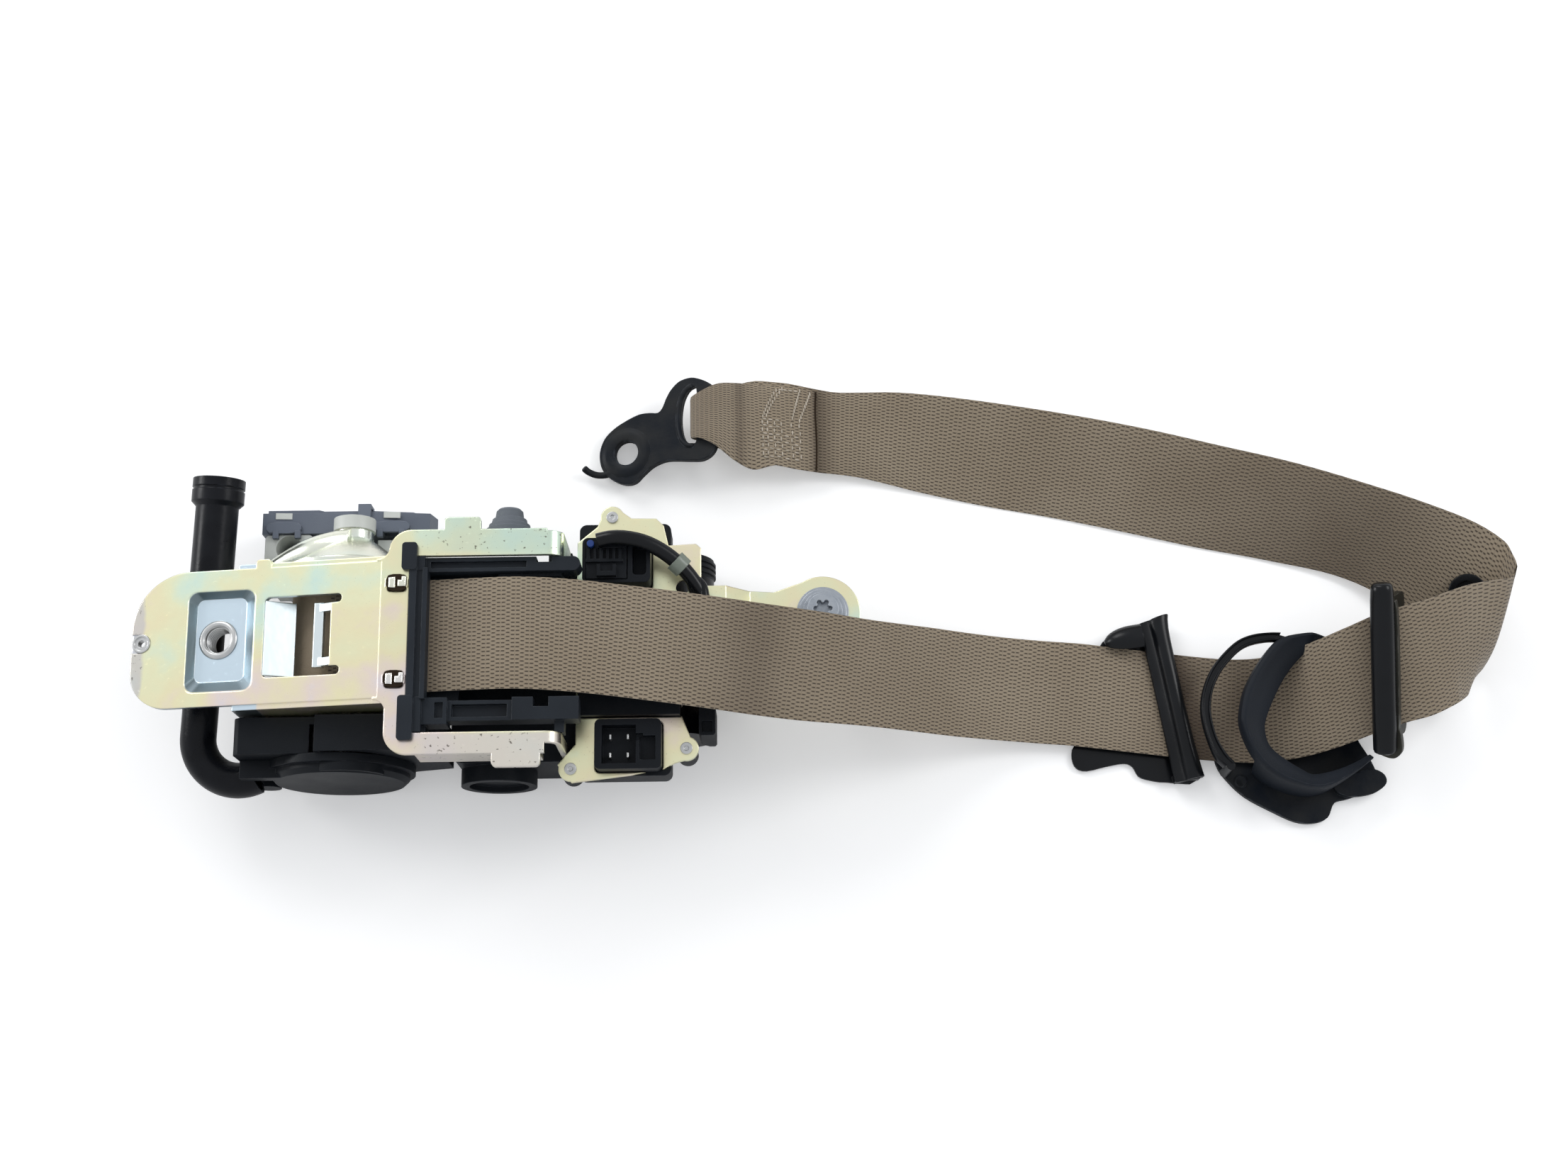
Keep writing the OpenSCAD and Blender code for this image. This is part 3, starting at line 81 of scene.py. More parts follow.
class NodeWriter:
    """Adds and joins the nodes of one tree."""

    def __init__(self, tree: bpy.types.NodeTree) -> None:
        """Keeps the tree.

        Args:
            tree: The node tree that nodes are added to.
        """
        self.tree = tree

    def add(self, kind: str, **values: object) -> Node:
        """Adds a node and sets its properties.

        Args:
            kind: Blender's name of the node.
            **values: Properties of the node.

        Returns:
            The new node.
        """
        node = self.tree.nodes.new(kind)
        for name, value in values.items():
            setattr(node, name, value)
        return node

    def join(self, source: Socket, target: Socket) -> None:
        """Links an output to an input."""
        self.tree.links.new(source, target)

    def feed(self, target: Socket, value: object) -> None:
        """Links a socket or sets a plain value on an input.

        Args:
            target: The input.
            value: The socket or the plain value.
        """
        if isinstance(value, Socket):
            self.join(value, target)
        else:
            target.default_value = value

    def math(self, operation: str, *values: object) -> Socket:
        """Adds a Math node.

        Args:
            operation: Name of the operation.
            *values: Sockets or numbers for its inputs.

        Returns:
            The node's output.
        """
        node = self.add("ShaderNodeMath", operation=operation)
        for place, value in enumerate(values):
            self.feed(node.inputs[place], value)
        return node.outputs[0]

    def mix(self, factor: object, a: object, b: object, blend: str = "MIX") -> Socket:
        """Mixes two colours.

        Args:
            factor: Share of the second colour.
            a: First colour.
            b: Second colour.
            blend: How they are mixed.

        Returns:
            The mixed colour.
        """
        node = self.add("ShaderNodeMix", data_type="RGBA", blend_type=blend)
        self.feed(node.inputs["Factor"], factor)
        self.feed(node.inputs[6], a)
        self.feed(node.inputs[7], b)
        return node.outputs[2]

    def ramp(self, value: object, low: float, high: float) -> Socket:
        """Maps a value from low..high to 0..1, held within it.

        Args:
            value: The value to map.
            low: What becomes 0.
            high: What becomes 1.

        Returns:
            The mapped value.
        """
        node = self.add("ShaderNodeMapRange", clamp=True)
        self.feed(node.inputs[0], value)
        node.inputs[1].default_value = low
        node.inputs[2].default_value = high
        return node.outputs[0]

    def noise(self, vector: Socket, scale: object, detail: float = 3.0) -> Socket:
        """Adds a noise texture.

        Args:
            vector: Where it is read.
            scale: Its scale.
            detail: Its octaves.

        Returns:
            The noise value.
        """
        node = self.add("ShaderNodeTexNoise")
        self.join(vector, node.inputs["Vector"])
        self.feed(node.inputs["Scale"], scale)
        node.inputs["Detail"].default_value = detail
        return node.outputs[0]

    def group(self, tree: bpy.types.NodeTree, **values: object) -> Node:
        """Adds a shader group and feeds its inputs.

        Args:
            tree: The group's tree.
            **values: Sockets or plain values by the input's name, with _ for a space.

        Returns:
            The group node.
        """
        node = self.add("ShaderNodeGroup", node_tree=tree)
        for name, value in values.items():
            self.feed(node.inputs[name.replace("_", " ")], value)
        return node


class Effects:
    """Shader groups that several finishes share, each built once."""

    @staticmethod
    def _start(name: str, inputs: list[tuple], outputs: list[tuple]) -> tuple[NodeWriter, Node, Node]:
        """Starts a group with its sockets.

        Args:
            name: Name of the group.
            inputs: Name, kind and default value of each input.
            outputs: Name and kind of each output.

        Returns:
            The writer, the group's input node and its output node.
        """
        tree = bpy.data.node_groups.new(name, "ShaderNodeTree")
        for label, kind, default in inputs:
            socket = tree.interface.new_socket(label, in_out="INPUT", socket_type="NodeSocket" + kind)
            if default is not None:
                socket.default_value = default
        for label, kind in outputs:
            tree.interface.new_socket(label, in_out="OUTPUT", socket_type="NodeSocket" + kind)
        writer = NodeWriter(tree)
        return writer, writer.add("NodeGroupInput"), writer.add("NodeGroupOutput")

    @staticmethod
    @cache
    def blotches() -> bpy.types.NodeTree:
        """Makes a cloudy change between two colours.

        Returns:
            The group's tree.
        """
        w, i, o = Effects._start(
            "Blotches",
            [("Vector", "Vector", None), ("Scale", "Float", 40.0),
             ("Colour A", "Color", (1, 1, 1, 1)), ("Colour B", "Color", (0, 0, 0, 1))],
            [("Colour", "Color"), ("Mask", "Float")])
        coarse = w.noise(i.outputs["Vector"], i.outputs["Scale"], 4.0)
        mask = w.ramp(coarse, 0.35, 0.68)
        w.join(w.mix(mask, i.outputs["Colour A"], i.outputs["Colour B"]), o.inputs["Colour"])
        w.join(mask, o.inputs["Mask"])
        return w.tree

    @staticmethod
    @cache
    def edge_wear() -> bpy.types.NodeTree:
        """Marks the edges where a coat wears off, and softens the normals there.

        Returns:
            The group's tree.
        """
        w, i, o = Effects._start(
            "Edge wear",
            [("Vector", "Vector", None), ("Radius", "Float", 0.0006), ("Breakup", "Float", 300.0)],
            [("Mask", "Float"), ("Normal", "Vector")])
        soft = w.add("ShaderNodeBevel", samples=6)
        w.join(i.outputs["Radius"], soft.inputs["Radius"])
        true_normal = w.add("ShaderNodeNewGeometry")
        turn = w.add("ShaderNodeVectorMath", operation="DOT_PRODUCT")
        w.join(soft.outputs[0], turn.inputs[0])
        w.join(true_normal.outputs["Normal"], turn.inputs[1])
        edge = w.ramp(w.math("SUBTRACT", 1.0, turn.outputs["Value"]), 0.02, 0.2)
        patchy = w.ramp(w.noise(i.outputs["Vector"], i.outputs["Breakup"], 3.0), 0.42, 0.62)
        w.join(w.math("MULTIPLY", edge, patchy), o.inputs["Mask"])
        w.join(soft.outputs[0], o.inputs["Normal"])
        return w.tree

    @staticmethod
    @cache
    def rainbow() -> bpy.types.NodeTree:
        """Makes yellow passivation that drifts into green, blue and pink.

        Returns:
            The group's tree.
        """
        w, i, o = Effects._start(
            "Passivation",
            [("Vector", "Vector", None), ("Strength", "Float", 1.0),
             ("Bare tone", "Color", (1, 1, 1, 1)), ("Speck tone", "Color", (0, 0, 0, 1))],
            [("Colour", "Color"), ("Speck", "Float")])
        broad = w.noise(i.outputs["Vector"], 16.0, 2.0)
        fine = w.noise(i.outputs["Vector"], 70.0, 3.0)
        drift = w.math("ADD", broad, w.math("MULTIPLY", w.math("SUBTRACT", fine, 0.5), 0.35))
        scale = w.add("ShaderNodeValToRGB")
        ramp = scale.color_ramp
        tones = [(0.28, (0.66, 0.90, 0.86)), (0.38, (0.80, 0.93, 0.74)), (0.48, (0.92, 0.92, 0.62)),
                 (0.58, (0.95, 0.88, 0.58)), (0.68, (0.93, 0.80, 0.70)), (0.78, (0.82, 0.78, 0.88))]
        while len(ramp.elements) < len(tones):
            ramp.elements.new(0.5)
        for element, (place, colour) in zip(ramp.elements, tones):
            element.position = place
            element.color = (*colour, 1)
        w.join(drift, scale.inputs[0])
        film = w.mix(i.outputs["Strength"], i.outputs["Bare tone"], scale.outputs[0])
        speck = w.ramp(w.noise(i.outputs["Vector"], 900.0, 2.0), 0.66, 0.74)
        share = w.math("MULTIPLY", speck, 0.25)
        w.join(w.mix(share, film, i.outputs["Speck tone"]), o.inputs["Colour"])
        w.join(speck, o.inputs["Speck"])
        return w.tree

    @staticmethod
    @cache
    def weave() -> bpy.types.NodeTree:
        """Makes flat ribs with a staggered dash in each, read in metres along and across.

        Returns:
            The group's tree.
        """
        w, i, o = Effects._start(
            "Weave",
            [("Vector", "Vector", None), ("Rib", "Float", 0.0016), ("Pick", "Float", 0.0015)],
            [("Height", "Float"), ("Gap", "Float"), ("Rib tone", "Float")])
        parts = w.add("ShaderNodeSeparateXYZ")
        w.join(i.outputs["Vector"], parts.inputs[0])
        along = w.math("DIVIDE", parts.outputs[0], i.outputs["Rib"])
        rib = w.math("FLOOR", along)
        twist = w.math("FLOOR", w.math("DIVIDE", rib, 3.0))
        shift = w.math("MULTIPLY", w.math("MODULO", w.math("ADD", rib, twist), 2.0), 0.5)
        across = w.math("ADD", w.math("DIVIDE", parts.outputs[1], i.outputs["Pick"]), shift)
        reach_u = w.math("ABSOLUTE", w.math("SUBTRACT", w.math("FRACT", along), 0.5))
        reach_v = w.math("ABSOLUTE", w.math("SUBTRACT", w.math("FRACT", across), 0.5))
        dash = w.math("MULTIPLY", w.ramp(reach_u, 0.42, 0.26), w.ramp(reach_v, 0.20, 0.08))
        seam = w.math("MULTIPLY", w.ramp(reach_u, 0.40, 0.5), 0.35)
        w.join(w.math("SUBTRACT", 1.0, w.math("MAXIMUM", dash, seam)), o.inputs["Height"])
        w.join(dash, o.inputs["Gap"])
        tone = w.math("MULTIPLY", w.ramp(reach_v, 0.2, 0.5), w.math("SUBTRACT", 1.0, seam))
        w.join(tone, o.inputs["Rib tone"])
        return w.tree


@dataclass(frozen=True)
class Finish:
    """A moulded, painted or plated surface."""

    name: str
    base: Colour
    second: Colour
    roughness: float
    metallic: float = 0.0
    blotch_scale: float = 30.0
    grain_scale: float = 1500.0
    grain_depth: float = 0.00004
    bevel: float = 0.0005
    worn: Colour | None = None
    wear: float = 0.5
    specular: float = 0.5
    transmission: float = 0.0

    def material(self) -> bpy.types.Material:
        """Gives the finish's material, which is made on first use.

        Returns:
            The material.
        """
        known = bpy.data.materials.get(self.name)
        if known:
            return known
        material = bpy.data.materials.new(self.name)
        material.use_nodes = True
        writer = NodeWriter(material.node_tree)
        shader = material.node_tree.nodes["Principled BSDF"]
        shader.inputs["Metallic"].default_value = self.metallic
        shader.inputs["Transmission Weight"].default_value = self.transmission
        shader.inputs["Specular IOR Level"].default_value = self.specular
        self._dress(writer, shader, writer.add("ShaderNodeTexCoord").outputs["Object"])
        return material

    def _soft_edges(self, writer: NodeWriter, where: Socket) -> Node:
        """Adds the edge wear group."""
        return writer.group(Effects.edge_wear(), Vector=where, Radius=self.bevel)

    def _clouds(self, writer: NodeWriter, where: Socket) -> Node:
        """Adds the cloudy change between the finish's two colours."""
        return writer.group(Effects.blotches(), Vector=where, Scale=self.blotch_scale,
                            Colour_A=(*self.base, 1), Colour_B=(*self.second, 1))

    def _bump(self, writer: NodeWriter, height: Socket, normal: Socket | None, shader: Node) -> None:
        """Adds the grain as a bump on top of a normal and feeds it to the shader.

        Args:
            writer: Writer of the material's tree.
            height: Height from 0 to 1, where 1 stands for the depth of the grain.
            normal: Normal below the bump, if any.
            shader: The material's shader.
        """
        bump = writer.add("ShaderNodeBump")
        bump.inputs["Strength"].default_value = 1.0
        bump.inputs["Distance"].default_value = self.grain_depth
        writer.join(height, bump.inputs["Height"])
        if normal is not None:
            writer.join(normal, bump.inputs["Normal"])
        writer.join(bump.outputs[0], shader.inputs["Normal"])

    def _dull(self, writer: NodeWriter, mask: Socket, share: float, shader: Node) -> None:
        """Writes the roughness, with more of it where a mask is set.

        Args:
            writer: Writer of the material's tree.
            mask: Where the surface is duller.
            share: How much duller it is there.
            shader: The material's shader.
        """
        more = writer.math("MULTIPLY", mask, share)
        writer.join(writer.math("ADD", more, self.roughness), shader.inputs["Roughness"])

    def _dress(self, writer: NodeWriter, shader: Node, where: Socket) -> None:
        """Writes colour, roughness and grain.

        Args:
            writer: Writer of the material's tree.
            shader: The material's shader.
            where: Object coordinates.
        """
        clouds = self._clouds(writer, where)
        edge = self._soft_edges(writer, where)
        colour = clouds.outputs["Colour"]
        if self.worn:
            share = writer.math("MULTIPLY", edge.outputs["Mask"], self.wear)
            colour = writer.mix(share, colour, (*self.worn, 1))
        writer.join(colour, shader.inputs["Base Color"])
        self._dull(writer, clouds.outputs["Mask"], 0.12, shader)
        self._bump(writer, writer.noise(where, self.grain_scale, 2.0), edge.outputs["Normal"], shader)


@dataclass(frozen=True)
class FrameZones:
    """Where the frame's plating changes, and where painted shade darkens the recess walls. Each span runs
    from no tint to the full one.

    The spans are in metres, but the wall shade slope is the cosine of a face's turn from level, the pits are
    values of a noise, and the tilt is in degrees.
    """

    tilt: float = 9.0
    below_tongue: Span = (0.0038, 0.0034)
    recess_end: Span = (0.0190, 0.0180)
    window_start: Span = (0.0190, 0.0200)
    window_end: Span = (0.058, 0.056)
    window_side: Span = (0.0185, 0.0175)
    wall_shade_slope: Span = (0.97, 0.75)
    tip_end: Span = (-0.0285, -0.0300)
    north_rail: Span = (0.030, 0.033)
    north_start: Span = (0.080, 0.100)
    south_rail: Span = (-0.043, -0.0445)
    south_start: Span = (0.082, 0.090)
    pits: Span = (0.64, 0.70)
    window_tone: Colour = (0.80, 0.88, 0.90)
    recess_tone: Colour = (0.70, 0.83, 0.92)
    # Dark tone of painted shade on the recess's steep walls
    wall_shade_tone: Colour = (0.20, 0.25, 0.27)
    tip_tone: Colour = (0.66, 0.63, 0.65)
    north_tone: Colour = (0.66, 0.80, 0.66)
    south_tone: Colour = (0.80, 0.74, 0.72)
    pit_tone: Colour = (0.10, 0.08, 0.06)


@dataclass(frozen=True)
class PlatedFinish(Finish):
    """Yellow passivated zinc with its drifting tints. The two colours are its bare tone and its specks."""

    tint: float = 1.0
    zones: FrameZones | None = None

    def _zoned(self, writer: NodeWriter, where: Socket, colour: Socket) -> Socket:
        """Tints the recess blue, darkens its steep walls as painted shade, tints the window's strip and tip
        pale and the rails green and pink.

        Args:
            writer: Writer of the material's tree.
            where: Object coordinates.
            colour: Colour of the plating.

        Returns:
            The tinted colour.
        """
        def times(*values: object) -> Socket:
            """Multiplies two values."""
            return writer.math("MULTIPLY", *values)

        zones = self.zones
        parts = writer.add("ShaderNodeSeparateXYZ")
        writer.join(where, parts.inputs[0])
        x, y, z = parts.outputs
        tilt = math.radians(zones.tilt)
        rise = writer.math("SUBTRACT", times(z, math.cos(tilt)), times(x, math.sin(tilt)))
        low = writer.ramp(rise, *zones.below_tongue)
        sunk = times(low, writer.ramp(x, *zones.recess_end))
        inner = times(low, times(writer.ramp(x, *zones.window_start), writer.ramp(x, *zones.window_end)))
        inner = times(inner, writer.ramp(writer.math("ABSOLUTE", y), *zones.window_side))
        colour = writer.mix(inner, colour, (*zones.window_tone, 1))
        colour = writer.mix(sunk, colour, (*zones.recess_tone, 1))
        # Painted shade: the recess walls darken the further they turn from the plate's face
        facing = writer.add("ShaderNodeVectorMath", operation="DOT_PRODUCT")
        writer.join(writer.add("ShaderNodeNewGeometry").outputs["Normal"], facing.inputs[0])
        facing.inputs[1].default_value = (-math.sin(tilt), 0, math.cos(tilt))
        wall_shade = times(writer.ramp(facing.outputs["Value"], *zones.wall_shade_slope), sunk)
        colour = writer.mix(wall_shade, colour, (*zones.wall_shade_tone, 1))
        ragged = writer.math("ADD", x, times(writer.noise(where, 90.0), 0.004))
        tip = writer.ramp(ragged, *zones.tip_end)
        colour = writer.mix(times(tip, 0.75), colour, (*zones.tip_tone, 1))
        green = times(writer.ramp(y, *zones.north_rail), writer.ramp(x, *zones.north_start))
        colour = writer.mix(times(green, 0.6), colour, (*zones.north_tone, 1))
        pink = times(writer.ramp(y, *zones.south_rail), writer.ramp(x, *zones.south_start))
        colour = writer.mix(times(pink, 0.75), colour, (*zones.south_tone, 1))
        pits = writer.ramp(writer.noise(where, 620.0, 3.0), *zones.pits)
        rails = writer.math("MAXIMUM", green, writer.math("MAXIMUM", pink, tip))
        return writer.mix(times(pits, times(rails, 0.8)), colour, (*zones.pit_tone, 1))

    def _dress(self, writer: NodeWriter, shader: Node, where: Socket) -> None:
        """Writes the tints, specks and rolled surface.

        Args:
            writer: Writer of the material's tree.
            shader: The material's shader.
            where: Object coordinates.
        """
        film = writer.group(Effects.rainbow(), Vector=where, Strength=self.tint,
                            Bare_tone=(*self.base, 1), Speck_tone=(*self.second, 1))
        edge = self._soft_edges(writer, where)
        colour = film.outputs["Colour"]
        if self.zones:
            colour = self._zoned(writer, where, colour)
        share = writer.math("MULTIPLY", edge.outputs["Mask"], self.wear)
        writer.join(writer.mix(share, colour, (*self.worn, 1)), shader.inputs["Base Color"])
        self._dull(writer, film.outputs["Speck"], 0.25, shader)
        self._bump(writer, writer.noise(where, self.grain_scale, 4.0), edge.outputs["Normal"], shader)


@dataclass(frozen=True)
class WovenFinish(Finish):
    """Woven belt webbing, read from its own map in metres."""

    rib: float = 0.0016
    pick: float = 0.0015
    gap: Colour = (0.040, 0.028, 0.018)
    # Colour of the soiling, also used as painted shade at bends and beside the fittings
    dirt_and_shade: Colour = (0.055, 0.036, 0.024)

    def _dress(self, writer: NodeWriter, shader: Node, where: Socket) -> None:
        """Writes the weave, the soiling with its painted shade, and the soft nap.

        Args:
            writer: Writer of the material's tree.
            shader: The material's shader.
            where: Object coordinates.
        """
        flat = writer.add("ShaderNodeUVMap", uv_map="webbing").outputs[0]
        cloth = writer.group(Effects.weave(), Vector=flat, Rib=self.rib, Pick=self.pick)
        thread = writer.ramp(writer.noise(where, 2200.0, 2.0), 0.3, 0.7)
        light = writer.math("MULTIPLY", writer.math("MULTIPLY", thread, cloth.outputs["Rib tone"]), 0.4)
        colour = self._clouds(writer, where).outputs["Colour"]
        colour = writer.mix(light, colour, (*[c * 1.35 for c in self.base], 1))
        dark = writer.math("MULTIPLY", cloth.outputs["Gap"], 0.85)
        colour = writer.mix(dark, colour, (*self.gap, 1))
        # The soiling attribute darkens the webbing for stains and for painted shade alike
        soil_and_shade = writer.add("ShaderNodeAttribute", attribute_name="soil_and_shade").outputs["Fac"]
        writer.join(writer.mix(soil_and_shade, colour, (*self.dirt_and_shade, 1)), shader.inputs["Base Color"])
        shader.inputs["Sheen Weight"].default_value = 0.25
        shader.inputs["Sheen Roughness"].default_value = 0.5
        shader.inputs["Roughness"].default_value = self.roughness
        self._bump(writer, cloth.outputs["Height"], None, shader)


@dataclass(frozen=True)
class FinishBook:
    """Every finish of the assembly."""

    gold: Finish = PlatedFinish("Yellow zinc plate", (0.88, 0.90, 0.86), (0.30, 0.26, 0.16), 0.3, 1.0,
                                grain_scale=260, grain_depth=0.00005, bevel=0.0007, wear=0.7,
                                worn=(0.75, 0.74, 0.72))
    frame_gold: Finish = replace(gold, name="Yellow zinc frame", zones=FrameZones())
    pressed: Finish = replace(gold, name="Blue zinc plate", roughness=0.24, bevel=0.001, wear=0.4, tint=0.35)
    zinc: Finish = Finish("Bright zinc plate", (0.66, 0.66, 0.65), (0.52, 0.53, 0.53), 0.27, 1.0,
                          blotch_scale=120, grain_scale=700, grain_depth=0.00005, worn=(0.85, 0.85, 0.85))
    bolt_zinc: Finish = Finish("Grey zinc plate", (0.42, 0.45, 0.49), (0.33, 0.36, 0.40), 0.4, 1.0,
                               blotch_scale=300, grain_scale=1400, grain_depth=0.00006,
                               worn=(0.7, 0.72, 0.74))
    alloy: Finish = Finish("Cast alloy", (0.5, 0.51, 0.53), (0.42, 0.43, 0.45), 0.42, 1.0, grain_depth=0.0001)
    black_steel: Finish = Finish("Black coated steel", (0.0035, 0.004, 0.006), (0.008, 0.009, 0.012), 0.24,
                                 blotch_scale=60, grain_scale=500, grain_depth=0.00005,
                                 worn=(0.09, 0.10, 0.12), specular=0.17, bevel=0.0006)
    plate_steel: Finish = Finish("Black zinc plate", (0.005, 0.0075, 0.012), (0.017, 0.018, 0.019), 0.36,
                                 blotch_scale=70, grain_scale=700, grain_depth=0.00006,
                                 worn=(0.14, 0.16, 0.19), specular=0.13, bevel=0.0008)
    matte_black: Finish = Finish("Matte black moulding", (0.005, 0.0066, 0.009), (0.009, 0.011, 0.0145), 0.42,
                                 grain_scale=1800, grain_depth=0.00005, worn=(0.05, 0.057, 0.07), wear=0.6,
                                 specular=0.15)
    slate_black: Finish = Finish("Slate black moulding", (0.010, 0.013, 0.018), (0.016, 0.021, 0.028), 0.4,
                                 grain_depth=0.00005, worn=(0.08, 0.09, 0.105), wear=0.5, specular=0.2)
    gloss_black: Finish = Finish("Gloss black moulding", (0.003, 0.0036, 0.0048), (0.005, 0.006, 0.008), 0.22,
                                 grain_scale=260, grain_depth=0.00003, specular=0.24, bevel=0.0008)
    grey: Finish = Finish("Blue grey moulding", (0.125, 0.145, 0.185), (0.155, 0.175, 0.215), 0.42,
                          worn=(0.3, 0.32, 0.36), wear=0.4, specular=0.3)
    ivory: Finish = Finish("White moulding", (0.62, 0.64, 0.61), (0.52, 0.54, 0.51), 0.4,
                           worn=(0.8, 0.8, 0.78), wear=0.4)
    blue: Finish = Finish("Blue moulding", (0.01, 0.05, 0.25), (0.015, 0.06, 0.3), 0.3)
    band: Finish = Finish("Clear green band", (0.27, 0.31, 0.26), (0.19, 0.22, 0.18), 0.25, transmission=0.3)
    rubber: Finish = Finish("Slate rubber", (0.105, 0.12, 0.14), (0.14, 0.155, 0.175), 0.55,
                            grain_scale=1200, grain_depth=0.00008, specular=0.3)
    olive: Finish = Finish("Dark blade steel", (0.030, 0.030, 0.024), (0.045, 0.044, 0.036), 0.35, 0.6,
                           specular=0.3, worn=(0.3, 0.3, 0.28))
    hood: Finish = Finish("Slate loop hood", (0.0055, 0.008, 0.0125), (0.009, 0.0125, 0.019), 0.5,
                          grain_scale=2600, grain_depth=0.00009, worn=(0.09, 0.10, 0.12), specular=0.2,
                          bevel=0.0005)
    # Flat dark colour: painted shade in the slot holes and the painted shadow at the fold's end
    shade: Finish = Finish("Painted shade", (0.035, 0.022, 0.012), (0.02, 0.013, 0.008), 0.7, specular=0.1)
    copper: Finish = Finish("Wound copper", (0.55, 0.3, 0.16), (0.45, 0.24, 0.12), 0.35, 1.0)
    webbing: Finish = WovenFinish("Tan webbing", (0.315, 0.258, 0.188), (0.265, 0.212, 0.150), 0.75,
                                  blotch_scale=22, grain_depth=0.00030, rib=0.0020, pick=0.0017, specular=0.2)
    rolled: Finish = Finish("Rolled webbing", (0.27, 0.22, 0.16), (0.20, 0.16, 0.11), 0.8,
                            blotch_scale=60, grain_scale=900, grain_depth=0.0002, specular=0.2)
    thread: Finish = Finish("Light sewing thread", (0.50, 0.44, 0.36), (0.38, 0.33, 0.26), 0.6,
                            blotch_scale=200, grain_scale=2500, grain_depth=0.0001)


FINISHES = FinishBook()


@dataclass
class NodeDresser:
    """Gives the carried-over solids their finishes."""

    dressed: dict[str, tuple[str, ...]] = field(default_factory=lambda: {
        "gold": ("module_bracket",),
        "frame_gold": ("retractor_frame",),
        "zinc": ("threaded_collar", "locator_eyelet", "torsion_bar", "ratchet_wheel", "lock_pawl", "pawl_pin",
                 "sensor_ball", "return_spring", "pretensioner_pinion", "bracket_rivets", "socket_pins",
                 "gas_piston"),
        "pressed": ("lock_housing",),
        "bolt_zinc": ("torx_bolt", "bolt_washer"),
        "olive": ("tongue_plate",),
        "alloy": ("spool_drum",),
        "black_steel": ("gas_tube", "gas_generator", "motor_can", "belt_guide"),
        "plate_steel": ("loop_plate", "anchor_plate"),
        "matte_black": ("pretensioner_cover", "spring_cover", "ecu_housing", "gear_case", "motor_end_cap",
                        "motor_terminal", "upper_socket", "upper_plug", "lower_socket", "loop_cover",
                        "loop_trim"),
        "slate_black": ("web_guide",),
        "gloss_black": ("tongue_grip", "stop_button", "button_back"),
        "grey": ("sensor_cover", "sensor_clip"),
        "ivory": ("north_bush", "south_bush", "boss_cap", "sensor_base", "sensor_lever", "spring_arbor"),
        "blue": ("plug_lock_pin",),
        "band": ("lead_band",),
        "rubber": ("rubber_dome",),
        "copper": ("motor_rotor",),
        "rolled": ("web_roll",),
    })

    def dress(self) -> None:
        """Assigns each node's material."""
        for finish, nodes in self.dressed.items():
            material = getattr(FINISHES, finish).material()
            for name in nodes:
                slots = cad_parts[name].material_slots
                for place in slots:
                    place.link = "OBJECT"
                    place.material = material
        log.info("dressed %d solids", sum(map(len, self.dressed.values())))


